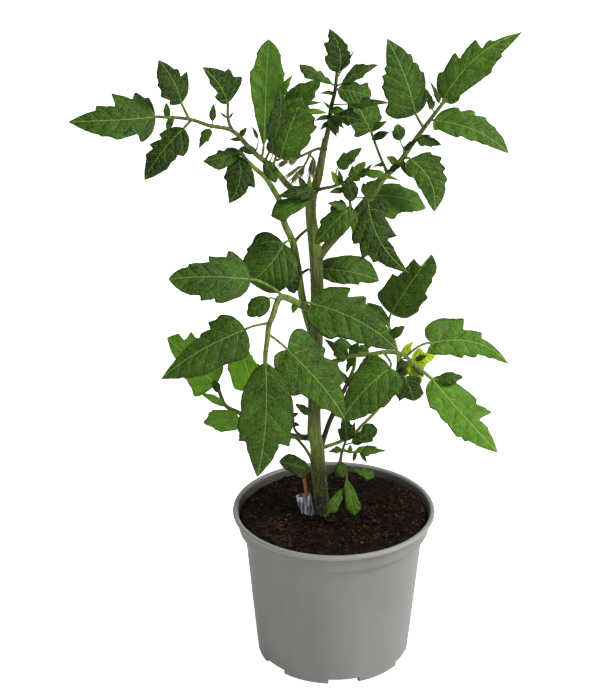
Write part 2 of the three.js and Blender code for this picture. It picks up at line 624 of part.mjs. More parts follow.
        steps: 6,
      },
    ],
    leaflets: [
      ['topLeaf', [1, 0, 362], [-4, -5, 387], 17.5, { bend: 0.1 }],
      ['topSide', [-2, -3, 355.5], [-20, -6, 368], 11],
      ['topSide', [2, -2, 355.5], [22.5, 2, 365.5], 11],
      ['notched', [0.5, -3, 353], [18.5, -6, 350], 16],
      ['slim', [8, -7, 346], [29, -11, 348], 7],
      ['notched', [-2, -6, 339], [15, -12, 338], 12],
      ['notched', [-4, -5, 337], [1, -9, 330], 7],
      ['tiny', [-5, -4, 334], [-9, -9, 332], 3],
      ['tiny', [-2, -4, 340], [4, -8, 343], 5],
    ],
  },
  leaf_front_left: {
    limbs: [
      {
        path: [
          [-11, -1, 218], [-14, -7, 225], [-20, -14, 231], [-26, -22, 238], [-31, -30, 242],
          [-33, -35, 240], [-35, -40, 235], [-37, -43, 231], [-38, -46, 223], [-39, -49, 216],
          [-39, -51, 209],
        ],
        girths: [4.6, 4.2, 3.8, 3.4, 3, 2.6],
        steps: 14,
      },
    ],
    leaflets: [
      ['frontHanging', [-39, -51, 211], [-44, -62, 146], 31.5, { bulge: 0.05, bend: -0.04 }],
      ['frontLeftFar', [-47, -35, 255], [-91, -46, 260], 32.5],
      ['oval', [-37, -36, 244], [-49, -39, 235], 12],
      ['frontLeftLow', [-50, -44, 229], [-97, -52, 203], 30, { bend: 0.02 }],
      ['frontLowRight', [-27, -42, 216], [6, -40, 172], 33, { bend: -0.02, heart: 0.24 }],
      ['frontRight', [-14, -19, 234], [35, -26, 209], 32.5, { bend: -0.05, heart: 0.1 }],
      ['tiny', [-21, -18, 233], [-24, -22, 229], 4],
    ],
  },
  leaf_back_left: {
    limbs: [
      {
        path: [
          [-11, 0, 141], [-16, 4, 139], [-24, 8, 138], [-38, 14, 140], [-48, 18, 143], [-57, 22, 147],
          [-64, 24, 150], [-68, 26, 159],
        ],
        girths: [4, 3.4, 2.8, 2.2],
        steps: 10,
      },
      { path: [[-17, 3, 139], [-19, -2, 143], [-23, -4, 148], [-24, -6, 159]], girths: [1.8, 1.3], steps: 4 },
      { path: [[-15, 3, 140], [-15, -3, 150], [-15, -5, 156], [-15, -6, 160]], girths: [1.6, 1.2], steps: 4 },
    ],
    leaflets: [
      ['backBroad', [-70, 26, 163], [-98, 31, 191], 28],
      ['oval', [-48, 25, 160], [-55, 28, 187], 22],
      ['tiny', [-70, 24, 158], [-71, 25, 166], 5],
      ['tiny', [-69, 22, 149], [-79, 21, 160], 5],
      ['oval', [-56, 18, 144], [-77, 14, 144], 14],
      ['tiny', [-15.5, -6, 160], [-22.5, -9, 167], 5],
      ['tiny', [-24, -6, 152], [-20, -8, 153], 2.6],
    ],
  },
  leaf_right: {
    limbs: [
      {
        path: [
          [-10, -1, 182], [-6, -6, 190], [3, -9, 195], [10, -11, 199], [20, -13, 200], [28, -14, 202],
          [38, -15, 201], [43, -16, 197], [49, -17, 192], [56, -18, 186],
        ],
        girths: [3.8, 3.6, 3.4, 3, 2.2],
        steps: 12,
      },
    ],
    leaflets: [
      ['lowRightLight', [56, -18, 186], [94, -28, 145], 27, { bend: 0.03, heart: 0.08 }],
      ['lowRightUpper', [54.5, -14, 207.5], [100, -8, 192], 28, { bend: -0.12, heart: 0.3 }],
      ['lowRightInner', [31, -20, 195], [3, -27, 164], 30.5, { bend: 0.04, heart: 0.14 }],
      ['tiny', [59, -19, 187], [73.5, -18, 188.5], 7.4],
      ['slim', [6, -10, 197], [-6, -14, 210], 10],
      ['tiny', [8, -11, 200], [13, -12, 207], 6],
      ['slim', [10, -11, 198], [6, -13, 188], 5],
    ],
  },
  leaf_back_right: {
    limbs: [
      {
        path: [
          [-9, 0, 133], [-6, 3, 133], [5, 7, 135.5], [11, 11, 137], [17, 15, 142], [23, 20, 146],
          [28, 23, 151], [33, 26, 158], [37, 30, 167], [38, 31, 177], [36, 29, 188], [31, 25, 203],
        ],
        girths: [2.4, 2, 2, 2, 1.8],
        steps: 14,
      },
      {
        path: [
          [-8, 3, 131], [-6, 5, 138], [-3, 7, 147], [1, 9, 156], [4, 10, 163], [9, 11, 174],
          [12, 12, 184], [11, 13, 193],
        ],
        girths: [3.2, 3, 2.4, 1.6],
        steps: 9,
      },
    ],
    leaflets: [
      ['backRightTop', [33, 25, 209], [55, 22, 247], 27],
      ['notched', [42, 26, 168], [48, 24, 153], 19],
      ['oval', [44, 30, 175], [37, 27, 174], 6],
      ['oval', [32, 22, 195], [41, 23, 202], 6.5],
      ['tiny', [30, 25, 206], [19, 28, 215], 8],
      ['slim', [8, 11, 171], [3, 13, 179], 5],
      ['oval', [10, 13, 194], [0, 9, 198], 8, { face: UPWARD }],
      ['oval', [13, 13, 187], [20, 17, 193], 7],
    ],
  },
  leaf_yellow: {
    bearer: 'leaf_back_right',
    finish: YELLOW_GREEN,
    limbs: [
      { path: [[38, 31, 175], [40, 33, 179], [43, 34, 182]], girths: [1.8, 1.4], steps: 3 },
    ],
    leaflets: [
      ['notched', [46, 35, 174], [61, 37, 179], 15],
      ['oval', [46, 35, 174], [50, 33, 157], 12],
      ['tiny', [39, 33, 182], [47, 35, 187], 4],
    ],
  },
  leaf_behind_stem: {
    limbs: [
      { path: [[-10, 1, 233], [-12, 6, 238], [-14, 10, 243]], girths: [2.4, 2], steps: 4 },
    ],
    leaflets: [
      ['behindStem', [-12, 10, 243], [26, 15, 234], 21.5, { bulge: 0.1, bend: -0.02 }],
    ],
  },
  shoot_young: {
    limbs: [
      {
        path: [
          [-8, 0, 114], [-6, -4, 118], [-1, -8, 124], [3, -9, 129], [4, -9, 134], [5, -10, 139], [7, -10, 145],
        ],
        girths: [2.8, 2.2, 1.8, 1.4],
        steps: 8,
      },
      { path: [[3, -9, 130], [7, -11, 127], [7, -14, 122], [7, -15, 117]], girths: [1.5, 1.2], steps: 4 },
    ],
    leaflets: [
      ['notched', [7, -10, 145], [6, -12, 163], 10],
      ['slim', [9, -9, 145], [12, -7, 155], 5],
      ['oval', [10, -9, 142], [25, -7, 150], 12],
      ['slim', [14, -12, 138], [30, -15, 140], 7],
      ['slim', [4, -11, 139], [-4, -15, 139], 5],
      ['spoon', [7, -14, 121], [12, -24, 102], 10],
      ['spoon', [6, -15, 116], [-4, -24, 104], 8.5],
      ['oval', [3, -12, 130], [5, -16, 123], 8.5],
      ['oval', [11, -12, 127], [23, -14, 122], 7],
    ],
  },
  shoot_basal_left: {
    limbs: [
      { path: [[-8, 0, 113], [-13, -4, 121], [-16, -5, 124]], girths: [2, 1.6], steps: 3 },
      {
        path: [[-10, -3, 116], [-12, -3, 122], [-14, -3, 130], [-18, -3, 137], [-22, -3, 142]],
        girths: [2.2, 1.6],
        steps: 5,
      },
    ],
    leaflets: [
      ['oval', [-15, -6, 123], [-31, -11, 131], 10.5],
    ],
  },
};

const solids = {};
for (const [name, plan] of Object.entries(PLANT)) {
  const bearers = [stemRoom];
  if (plan.bearer) {
    for (const one of PLANT[plan.bearer].limbs) {
      bearers.push(limb(one, CLEARANCE));
    }
  }
  solids[name] = addNode(name, leafSolid(plan, bearers), plan.finish ?? GREEN);
}

// Support stick, pushed into the soil beside the stem
const STICK = {
  path: [[-13.2, 0.5, 80], [-15.8, 0.5, 102], [-18.6, 0.5, 122]],
  girths: [2.4, 2.4],
  sides: 8,
  steps: 2,
};
addNode('support_stick', limb(STICK), TAN_WOOD);

// Ribbed grafting clip: a flat open sleeve round the stick, leaning with it in the soil
const CLIP = { width: 9.4, depth: 5, wall: 0.9, ribDepth: 0.5, ribs: 5, height: 19, leanDeg: -12.5 };
const CLIP_FOOT = [-13.9, 0.5, 84];
function clipBar(points, hole, low, high) {
  const shape = new THREE.Shape(points.map(([x, y]) => new THREE.Vector2(x, y)));
  if (hole) {
    shape.holes.push(new THREE.Path(hole.map(([x, y]) => new THREE.Vector2(x, y))));
  }
  const geometry = new THREE.ExtrudeGeometry(shape, { depth: high - low, bevelEnabled: false });
  geometry.translate(0, 0, low);
  geometry.rotateY(THREE.MathUtils.degToRad(CLIP.leanDeg));
  geometry.translate(...CLIP_FOOT);
  return toSolid(geometry);
}
const rectangle = (w, d) => [[-w / 2, -d / 2], [w / 2, -d / 2], [w / 2, d / 2], [-w / 2, d / 2]];
function ribbedOutline({ width, depth, ribDepth, ribs }) {
  const pitch = width / ribs;
  const front = [];
  for (let i = 0; i < ribs; i += 1) {
    const start = -width / 2 + i * pitch;
    front.push([start, -depth / 2 + ribDepth], [start + pitch / 2, -depth / 2]);
  }
  front.push([width / 2, -depth / 2 + ribDepth]);
  return [...front, ...front.map(([x, y]) => [-x, -y])];
}
const clipHole = rectangle(CLIP.width - 2 * CLIP.wall, CLIP.depth - 2 * CLIP.wall);
const clip = clipBar(ribbedOutline(CLIP), clipHole, 0, CLIP.height);
addNode('grafting_clip', clip, CLEAR_PLASTIC);
const clipRoom = clipBar(
  rectangle(CLIP.width + 2 * CLEARANCE, CLIP.depth + 2 * CLEARANCE), null, -CLEARANCE, CLIP.height,
);

// Soil: a crumbly plug that fills the pot, with plain holes for what stands in it
const soilSide = WALL + CLEARANCE;
const bendHeight = collarFoot + WALL;
const soilEdge = SOIL_LEVEL - SOIL_EDGE_DROP;
function insideWall(z) {
  const part = (z - bendHeight) / (POT_HEIGHT - bendHeight);
  return THREE.MathUtils.lerp(collarR - WALL, rimR - LIP_WIDTH, part) - CLEARANCE;
}
const soilProfile = [
  [0, FLOOR_THICKNESS + CLEARANCE], [discR - 2 * DRAFT - CLEARANCE, FLOOR_THICKNESS + CLEARANCE],
  [discR - DRAFT - CLEARANCE, channelTop + CLEARANCE], [bodyFootR - soilSide, channelTop + CLEARANCE],
  [bodyTopR - soilSide, collarFoot - DRAFT], [insideWall(bendHeight), bendHeight],
  [insideWall(soilEdge), soilEdge], [insideWall(SOIL_LEVEL) - SOIL_EDGE_WIDTH, SOIL_LEVEL],
  ...SOIL_RINGS.map((radius) => [radius, SOIL_LEVEL]),
];
const soilGeometry = turned(soilProfile, SOIL_SIDES);
const soilPosition = soilGeometry.attributes.position;
for (let i = 0; i < soilPosition.count; i += 1) {
  const [x, y, z] = [soilPosition.getX(i), soilPosition.getY(i), soilPosition.getZ(i)];
  if (z > SOIL_LEVEL - CLEARANCE) {
    const turns = BUMP_LENGTHS.map((reach, k) => (k % 2 ? y : x) * 2 * Math.PI / reach);
    const bump = Math.sin(turns[0] + 1) * Math.cos(turns[1]) + 0.6 * Math.sin(turns[2] - turns[3]);
    soilPosition.setZ(i, z + SOIL_BUMP * bump);
  }
}
const soil = toSolid(soilGeometry).subtract(stemRoom).subtract(limb(STICK, CLEARANCE)).subtract(clipRoom);
addNode('soil', soil, PEAT);

export default group;
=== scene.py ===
"""A young tomato plant in a grey nursery pot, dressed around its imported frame."""

import math
import random

import bmesh
import bpy
from bpy.props import FloatProperty, FloatVectorProperty, IntProperty, PointerProperty
from mathutils import Euler, Matrix, Vector, noise


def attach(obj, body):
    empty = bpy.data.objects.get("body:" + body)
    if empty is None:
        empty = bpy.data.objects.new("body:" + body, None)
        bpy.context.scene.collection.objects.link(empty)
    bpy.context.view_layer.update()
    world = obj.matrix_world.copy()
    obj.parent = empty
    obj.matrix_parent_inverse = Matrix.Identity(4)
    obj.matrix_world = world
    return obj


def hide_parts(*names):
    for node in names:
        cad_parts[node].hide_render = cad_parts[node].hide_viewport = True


bl_info = {
    "name": "Tomato plant in a pot",
    "version": (1, 0, 0),
    "blender": (4, 5, 0),
    "location": "View3D > Sidebar > Tomato",
    "description": "Builds a potted tomato plant piece by piece around its solid frame",
    "category": "Object",
}

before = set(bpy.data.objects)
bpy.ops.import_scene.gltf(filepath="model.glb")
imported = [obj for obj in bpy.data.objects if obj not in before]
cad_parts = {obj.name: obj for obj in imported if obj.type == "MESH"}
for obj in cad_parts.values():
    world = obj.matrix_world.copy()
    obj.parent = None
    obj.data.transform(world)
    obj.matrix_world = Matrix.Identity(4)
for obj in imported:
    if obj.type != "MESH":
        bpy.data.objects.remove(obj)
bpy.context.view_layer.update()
BODY = "root"

# Sizes are in millimetres while a piece is modelled, and its mesh is scaled to metres at the end
TO_METRES = 0.001

# Distances under which points are joined, the finer one for thin limbs
WELD = 1e-4
FINE_WELD = 1e-5

# Which way a leaflet's upper face looks
TO_VIEWER = (0, -0.78, 0.62)
AWAY = (0, 0.85, 0.5)
UPWARD = (0, -0.45, 0.9)
RIGHTWARD = (0.6, -0.6, 0.5)

# How leaflets hang on their limbs, as in the solids
SESSILE_REACH = 7
SEATED_GAP = 0.8
ROOT_SINK = 1.3
ROOT_FOLLOW = 0.45
STALK_LEAD = 0.35

# How a blade lies: its rows swept forward to the margin, its heart-shaped foot, its arch, which is
# highest at the middle, its fold along the midrib and the curl of its tip
VEIN_SWEEP = 0.5
BASE_SWEEP = 0.15
SWEEP_RISE = 3
SWEEP_CURVE = 0.28
HEART_SHARE = 0.35
ARCH_PEAK = 4
BLADE_FOLD = -0.12
TIP_CURL = 0.05
CURL_START = 0.55

# How full a half of the margin is before its first tooth and before the others (under 1 is
# rounder), how its teeth are rounded, how it wanders, and its fine saw teeth between them
FOOT_FULLNESS = 0.55
TOOTH_FULLNESS = 0.85
TOOTH_ROUNDING = 0.7
MARGIN_WANDER = 0.06
WANDER_LENGTH = 3.5
SERRATION = 0.55
SERRATION_STEP = 3.1
SERRATION_RISE = 0.8

# A blade's rows and the columns of each of its halves per millimetre, and its rows at its foot as
# shares of its length
ROW_DENSITY = 1.15
COLUMN_DENSITY = 0.34
FOOT_ROWS = (0.0, 0.004, 0.016, 0.04)

# Side veins lean forward, and the midrib is drawn this wide for each millimetre of the leaflet
VEIN_LEAN = 0.45
MIDRIB_SHARE = 0.0135

# The midrib is raised below the blade. Its girths are shares of its stalk's, which grows with the
# leaflet's width, and it comes up to the blade on its way to the tip
RIB_LEAST = 0.32
RIB_GROWTH = 0.056
RIB_GIRTHS = (0.9, 0.62, 0.42, 0.3, 0.18, 0.1)
RIB_DEPTH = 0.38
RIB_FADE = 0.8
RIB_REACH = 0.875
RIB_POINTS = 15

# Tones run from brown (0) to green (1), and tints from deep green (0) to fresh green (1) and to the
# green of a thin leaf with the light behind it (2). Tints paint light and shade along with the leaf's
# own green: the deep end is also painted shade, and tints above 1 are painted light through the leaf
PLAIN_TONE = 0.4
LIMB_TONE = 0.3
BUD_TONES = (0.1, 0.3)
LEAF_TINT = 0.2

# Evenly spread along the main stem from its foot to its top
STEM_TONES = [0, 0, 0, 0.3, 0.9, 0.1, 0.15, 0.3, 0.5, 0.6, 0.65, 0.6, 0.45, 0.25]

# Shares of the main stem's length where it leaves the soil and where its pale foot ends
SOIL_SHARE = 0.12
FOOT_SHARE = 0.27
ROOT_BUMPS = 110

# Material slots of the compound leaves: blade above and below, stalk, hairs and midrib
UPPER, UNDER, STALK, HAIR, RIB = range(5)

# Hairs taper from their root, lean along their limb and droop a little
HAIR_RADIUS = 0.05
HAIR_TIP_RADIUS = 0.015
HAIR_LEAN = 0.45
HAIR_DROOP = 0.15

# How many small shapes are joined at a time
HEAP_SIZE = 60

# Pot: its radii are taken from the rim's, and its underside has a disc within a round channel
COLLAR_INSET = 3.6
COLLAR_DROP = 13
SHOULDER = 1.4
BODY_INSET = 7.1
FOOT_INSET = 14.7
FOOT_ROUND = 1.2
DISC_RADIUS = 33
CHANNEL_RADIUS = 41.5
CHANNEL_HEIGHT = 5
FLOOR_TOP = 2.4
CHANNEL_TOP = 7
POT_STEPS = 180

# The pot's level edges that are sharper than this are rounded, if they are this far from its axis
SHARP_ANGLE = math.radians(24)
ROUNDED_FROM = 8
EDGE_ROUND = 0.45
CREASE_ANGLE = math.radians(38)

# The notches of the pot's foot, turned a little from its front, and the drain hole behind each
NOTCH_COUNT = 6
NOTCH_HALF_ANGLE = math.radians(12)
FIRST_NOTCH = math.radians(-90 + 7.7)
NOTCH_HEIGHT = 3.8
DRAIN_RADIUS = 3

# Soil: a level body of rings, whose top is raised into lumps of these (heights, lengths)
SOIL_LEVEL = 91.2
SOIL_RADIUS = 56.2
SOIL_RINGS = 44
SOIL_STEPS = 160
SOIL_UNDERSIDE = [(0, 7.4), (42.5, 7.4), (50.2, 81)]
SOIL_LUMPS = ((1.3, 16), (0.9, 5.5), (0.5, 2.4), (0.35, 1.1))

# Loose crumbs, most of them small, with a fibre for every few
CRUMB_LEAST = 0.22
CRUMB_SPREAD = 0.9
CRUMB_UNEVEN = 0.22
FIBRE_EVERY = 6
FIBRE_LENGTHS = (1.5, 5)
FIBRE_RADII = (0.14, 0.06)

# Clip: a flat sleeve that stands beside the stem
CLIP_FOOT = (-13.9, 0.5, 84)
CLIP_LEAN = math.radians(-12.5)
CLIP_WIDTH = 9.2
CLIP_DEPTH = 4.8
CLIP_HEIGHT = 19.0
CLIP_WALL = 0.8
CLIP_RIB = 0.3
CLIP_RIBS = 5

# Heights between which the pot's wall turns to the paler colour of a painted highlight along its rim, in
# metres
RIM_HIGHLIGHT = (0.0915, 0.094)

# Stage, in metres
AIM = (-0.02, 0, 0.197)
KEY_PLACE = (1.25, -0.55, 1.5)
KEY_SIZE = 0.8
FILL_PLACE = (-1.4, -1.0, 0.8)
FILL_SIZE = 1.2
FLOOR_HALF = 8

# Values that a leaflet's mesh holds at each point for its veins and colours
LEAF_VALUES = ("forward", "sideways", "turns", "gap", "rib", "tint", "margin")

# Leaflet margins, one list of teeth for each half. A tooth is (share of the length, half width) at
# its tip, then the same two at the notch after it; a half width of 1 is half of the leaflet's width
MARGINS = {
    "notched": (
        [(0.05, 0.88, 0.072, 0.72), (0.36, 1, 0.382, 0.66), (0.62, 0.62, 0.642, 0.52)],
        [(0.18, 1, 0.202, 0.7), (0.5, 0.8, 0.522, 0.6), (0.72, 0.48, 0.742, 0.4)],
    ),
    "oval": (
        [(0.28, 1, 0.302, 0.97), (0.52, 0.9, 0.542, 0.85), (0.77, 0.52, 0.792, 0.48)],
        [(0.34, 1, 0.362, 0.97), (0.6, 0.84, 0.622, 0.79), (0.82, 0.44, 0.842, 0.4)],
    ),
    "spoon": (
        [(0.6, 1, 0.622, 0.96), (0.8, 0.74, 0.82, 0.66)],
        [(0.6, 0.94, 0.622, 0.9), (0.82, 0.6, 0.84, 0.54)],
    ),
    "slim": (
        [(0.08, 0.85, 0.102, 0.65), (0.42, 0.85, 0.442, 0.55)],
        [(0.28, 1, 0.302, 0.65), (0.6, 0.6, 0.622, 0.4)],
    ),
    "tiny": (
        [(0.42, 1, 0.442, 0.95)],
        [(0.48, 1, 0.502, 0.95)],
    ),
    "left_end": (
        [(0.15, 0.8, 0.17, 0.5), (0.4, 0.68, 0.44, 0.6), (0.58, 0.54, 0.6, 0.48)],
        [(0.05, 0.8, 0.07, 0.7), (0.14, 1, 0.17, 0.7), (0.32, 1, 0.38, 0.5), (0.6, 0.55, 0.63, 0.38)],
    ),
    "left_upper_outer": (
        [
            (0.1, 0.7, 0.13, 0.44), (0.23, 1, 0.27, 0.84), (0.46, 0.87, 0.48, 0.74),
            (0.61, 0.7, 0.64, 0.62),
        ],
        [(0.39, 0.93, 0.41, 0.47), (0.61, 0.55, 0.63, 0.4)],
    ),
    "left_lower_outer": (
        [(0.23, 1, 0.26, 0.73), (0.36, 0.78, 0.39, 0.7), (0.54, 0.74, 0.58, 0.64)],
        [(0.24, 0.72, 0.26, 0.4), (0.42, 0.78, 0.46, 0.48), (0.61, 0.62, 0.64, 0.47)],
    ),
    "left_upper_inner": (
        [(0.26, 0.42, 0.28, 0.2), (0.6, 0.28, 0.64, 0.2)],
        [(0.14, 1, 0.23, 0.68), (0.45, 0.7, 0.47, 0.52)],
    ),
    "side_hanging": (
        [(0.45, 1, 0.47, 0.63), (0.66, 0.6, 0.69, 0.52)],
        [(0.38, 1, 0.4, 0.82)],
    ),
    "side_small": (
        [(0.52, 1, 0.55, 0.92)],
        [(0.22, 0.76, 0.32, 0.5), (0.46, 0.76, 0.54, 0.46), (0.8, 0.38, 0.84, 0.22)],
    ),
    "side_broad": (
        [(0.22, 0.76, 0.29, 0.74), (0.5, 0.68, 0.52, 0.66)],
        [(0.15, 0.8, 0.17, 0.76), (0.32, 0.74, 0.34, 0.68)],
    ),
    "front_left_far": (
        [(0.32, 0.9, 0.34, 0.7), (0.51, 0.8, 0.53, 0.62)],
        [(0.17, 1, 0.19, 0.74), (0.4, 0.74, 0.42, 0.52), (0.69, 0.5, 0.71, 0.36)],
    ),
    "front_left_low": (
        [(0.13, 1, 0.16, 0.9), (0.24, 0.92, 0.26, 0.85), (0.46, 0.86, 0.48, 0.8)],
        [(0.12, 0.9, 0.14, 0.84), (0.22, 0.83, 0.24, 0.55), (0.35, 0.58, 0.38, 0.46)],
    ),
    "front_hanging": (
        [(0.3, 0.97, 0.5, 0.93), (0.6, 0.93, 0.612, 0.5), (0.66, 0.55, 0.68, 0.5)],
        [(0.28, 0.92, 0.3, 0.9), (0.45, 1, 0.47, 0.96), (0.59, 0.86, 0.61, 0.62)],
    ),
    "front_low_right": (
        [
            (0.08, 0.92, 0.1, 0.9), (0.21, 0.95, 0.24, 0.66), (0.34, 0.94, 0.36, 0.88),
            (0.56, 0.8, 0.59, 0.52),
        ],
        [(0.26, 1, 0.32, 0.76), (0.63, 0.54, 0.65, 0.48), (0.86, 0.26, 0.88, 0.2)],
    ),
    "front_right": (
        [(0.21, 0.98, 0.23, 0.6), (0.35, 0.9, 0.4, 0.68), (0.58, 0.66, 0.61, 0.5)],
        [(0.24, 1, 0.27, 0.84), (0.55, 0.68, 0.57, 0.6), (0.65, 0.6, 0.67, 0.52)],
    ),
    "right_end": (
        [
            (0.12, 0.97, 0.14, 0.78), (0.3, 0.95, 0.32, 0.52), (0.55, 0.75, 0.58, 0.16),
            (0.69, 0.34, 0.71, 0.17),
        ],
        [(0.11, 0.68, 0.13, 0.6), (0.41, 1, 0.45, 0.92), (0.63, 0.72, 0.65, 0.56)],
    ),
    "right_upper": (
        [
            (0.14, 1, 0.19, 0.8), (0.35, 0.88, 0.37, 0.76), (0.51, 0.72, 0.53, 0.54),
            (0.61, 0.56, 0.65, 0.42),
        ],
        [
            (0.17, 0.62, 0.19, 0.55), (0.35, 0.68, 0.38, 0.58), (0.52, 0.56, 0.54, 0.46),
            (0.66, 0.5, 0.68, 0.4),
        ],
    ),
    "right_drooping": (
        [
            (0.17, 0.92, 0.2, 0.66), (0.3, 1, 0.35, 0.72), (0.48, 0.88, 0.51, 0.73),
            (0.65, 0.68, 0.67, 0.58),
        ],
        [
            (0.06, 0.52, 0.08, 0.42), (0.27, 0.67, 0.31, 0.52), (0.46, 0.58, 0.49, 0.48),
            (0.62, 0.46, 0.64, 0.38),
        ],
    ),
    "right_hanging": (
        [
            (0.02, 1, 0.05, 0.55), (0.14, 0.9, 0.16, 0.65), (0.28, 0.72, 0.31, 0.58),
            (0.49, 0.6, 0.53, 0.48),
        ],
        [(0.2, 0.56, 0.23, 0.44), (0.42, 0.48, 0.44, 0.42)],
    ),
    "right_oval": (
        [(0.36, 0.8, 0.41, 0.66), (0.74, 0.66, 0.78, 0.5)],
        [(0.22, 1, 0.26, 0.78), (0.62, 0.52, 0.64, 0.44)],
    ),
    "right_front": (
        [(0.14, 0.85, 0.2, 0.57), (0.44, 0.72, 0.47, 0.28), (0.6, 0.34, 0.62, 0.29)],
        [(0.24, 1, 0.26, 0.76), (0.43, 0.98, 0.45, 0.72), (0.58, 0.72, 0.6, 0.54)],
    ),
    "back_right_top": (
        [(0.09, 1, 0.12, 0.94), (0.35, 0.9, 0.4, 0.66), (0.77, 0.52, 0.78, 0.06)],
        [(0.18, 0.92, 0.21, 0.86), (0.38, 0.95, 0.42, 0.78), (0.64, 0.72, 0.66, 0.64)],
    ),
    "behind_stem": (
        [(0.5, 1, 0.53, 0.97)],
        [(0.36, 0.74, 0.38, 0.7), (0.6, 0.58, 0.63, 0.42)],
    ),
    "low_right_upper": (
        [(0.13, 1.08, 0.16, 0.93), (0.24, 0.96, 0.28, 0.46), (0.51, 0.5, 0.54, 0.26)],
        [
            (0.19, 0.62, 0.21, 0.6), (0.3, 0.74, 0.32, 0.62), (0.48, 0.62, 0.5, 0.44),
            (0.67, 0.4, 0.69, 0.34),
        ],
    ),
    "low_right_light": (
        [(0.34, 0.9, 0.39, 0.76), (0.54, 1, 0.56, 0.38), (0.68, 0.44, 0.72, 0.36)],
        [
            (0.17, 0.82, 0.19, 0.74), (0.3, 0.8, 0.32, 0.74), (0.49, 0.82, 0.53, 0.68),
            (0.6, 0.7, 0.62, 0.56),
        ],
    ),
    "low_right_inner": (
        [(0.14, 0.98, 0.17, 0.88), (0.28, 1, 0.32, 0.88), (0.5, 0.8, 0.53, 0.7)],
        [(0.1, 0.88, 0.3, 0.72), (0.45, 0.62, 0.47, 0.54)],
    ),
    "upper_middle": (
        [(0.1, 0.7, 0.14, 0.66), (0.55, 0.9, 0.6, 0.8), (0.75, 0.66, 0.78, 0.58)],
        [(0.12, 0.8, 0.16, 0.7), (0.34, 0.95, 0.37, 0.82), (0.5, 1, 0.53, 0.86), (0.66, 0.8, 0.69, 0.66)],
    ),
    "right_inner": (
        [(0.08, 0.9, 0.14, 0.7), (0.42, 0.8, 0.46, 0.7), (0.7, 0.5, 0.73, 0.4)],
        [(0.05, 0.9, 0.09, 0.84), (0.3, 1, 0.34, 0.86), (0.56, 0.8, 0.6, 0.62), (0.74, 0.45, 0.77, 0.36)],
    ),
    "young_dark": (
        [(0.12, 0.9, 0.18, 0.6), (0.4, 1, 0.5, 0.6), (0.72, 0.5, 0.76, 0.36)],
        [(0.2, 0.8, 0.28, 0.5), (0.45, 0.85, 0.55, 0.5)],
    ),
    "back_broad": (
        [(0.08, 1, 0.12, 0.92), (0.28, 0.74, 0.3, 0.69), (0.67, 0.42, 0.69, 0.38)],
        [(0.1, 0.86, 0.14, 0.84), (0.66, 0.88, 0.73, 0.42), (0.87, 0.46, 0.89, 0.36)],
    ),
    "back_middle": (
        [(0.12, 0.97, 0.2, 0.94), (0.45, 1, 0.5, 0.9)],
        [(0.4, 0.72, 0.44, 0.6), (0.66, 0.48, 0.7, 0.4)],
    ),
    "back_low": (
        [(0.1, 0.95, 0.14, 0.93), (0.4, 1, 0.45, 0.93), (0.62, 0.75, 0.64, 0.6), (0.78, 0.45, 0.8, 0.33)],
        [(0.15, 0.9, 0.2, 0.88), (0.55, 1, 0.6, 0.9), (0.72, 0.82, 0.75, 0.62), (0.84, 0.42, 0.86, 0.3)],
    ),
    "back_right_low": (
        [(0.2, 0.9, 0.28, 0.65), (0.66, 0.75, 0.7, 0.7), (0.86, 0.5, 0.88, 0.42)],
        [(0.3, 1, 0.4, 0.9), (0.52, 0.9, 0.58, 0.5)],
    ),
    "yellow_star": (
        [(0.32, 0.8, 0.55, 0.2), (0.74, 0.44, 0.78, 0.36)],
        [(0.18, 1, 0.29, 0.68), (0.62, 0.56, 0.66, 0.46)],
    ),
    "yellow_low": (
        [(0.1, 0.8, 0.13, 0.78), (0.35, 0.97, 0.4, 0.9), (0.65, 0.7, 0.68, 0.6)],
        [(0.2, 0.9, 0.3, 0.62), (0.6, 0.45, 0.62, 0.4)],
    ),
    "young_right": (
        [(0.3, 0.6, 0.34, 0.55), (0.62, 1, 0.66, 0.9)],
        [(0.2, 0.6, 0.24, 0.5), (0.55, 0.9, 0.6, 0.6)],
    ),
    "young_spoon": (
        [(0.5, 0.8, 0.53, 0.76), (0.72, 1, 0.75, 0.85)],
        [(0.4, 0.66, 0.43, 0.62), (0.68, 0.9, 0.71, 0.78)],
    ),
    "basal": (
        [(0.1, 1, 0.14, 0.95), (0.5, 0.68, 0.54, 0.6)],
        [(0.2, 0.7, 0.22, 0.68), (0.48, 0.9, 0.51, 0.86)],
    ),
    "top_left": (
        [(0.38, 0.6, 0.4, 0.58), (0.63, 1, 0.66, 0.94), (0.84, 0.62, 0.86, 0.5)],
        [(0.24, 0.3, 0.26, 0.1), (0.47, 0.5, 0.5, 0.12), (0.7, 0.4, 0.73, 0.32)],
    ),
    "top_right": (
        [(0.44, 1, 0.47, 0.84), (0.6, 0.8, 0.63, 0.66), (0.84, 0.34, 0.87, 0.26)],
        [(0.3, 0.46, 0.33, 0.42), (0.48, 0.53, 0.51, 0.46), (0.71, 0.28, 0.74, 0.22)],
    ),
    "top_low": (
        [(0.34, 0.78, 0.5, 0.56), (0.63, 1, 0.7, 0.76), (0.85, 0.5, 0.88, 0.42)],
        [(0.3, 0.9, 0.34, 0.84), (0.6, 0.8, 0.63, 0.6)],
    ),
    "top_leaf": (
        [(0.29, 1, 0.33, 0.76), (0.63, 0.82, 0.65, 0.55), (0.83, 0.36, 0.85, 0.27)],
        [(0.12, 0.7, 0.21, 0.54), (0.29, 0.67, 0.38, 0.48), (0.5, 0.6, 0.55, 0.45)],
    ),
}

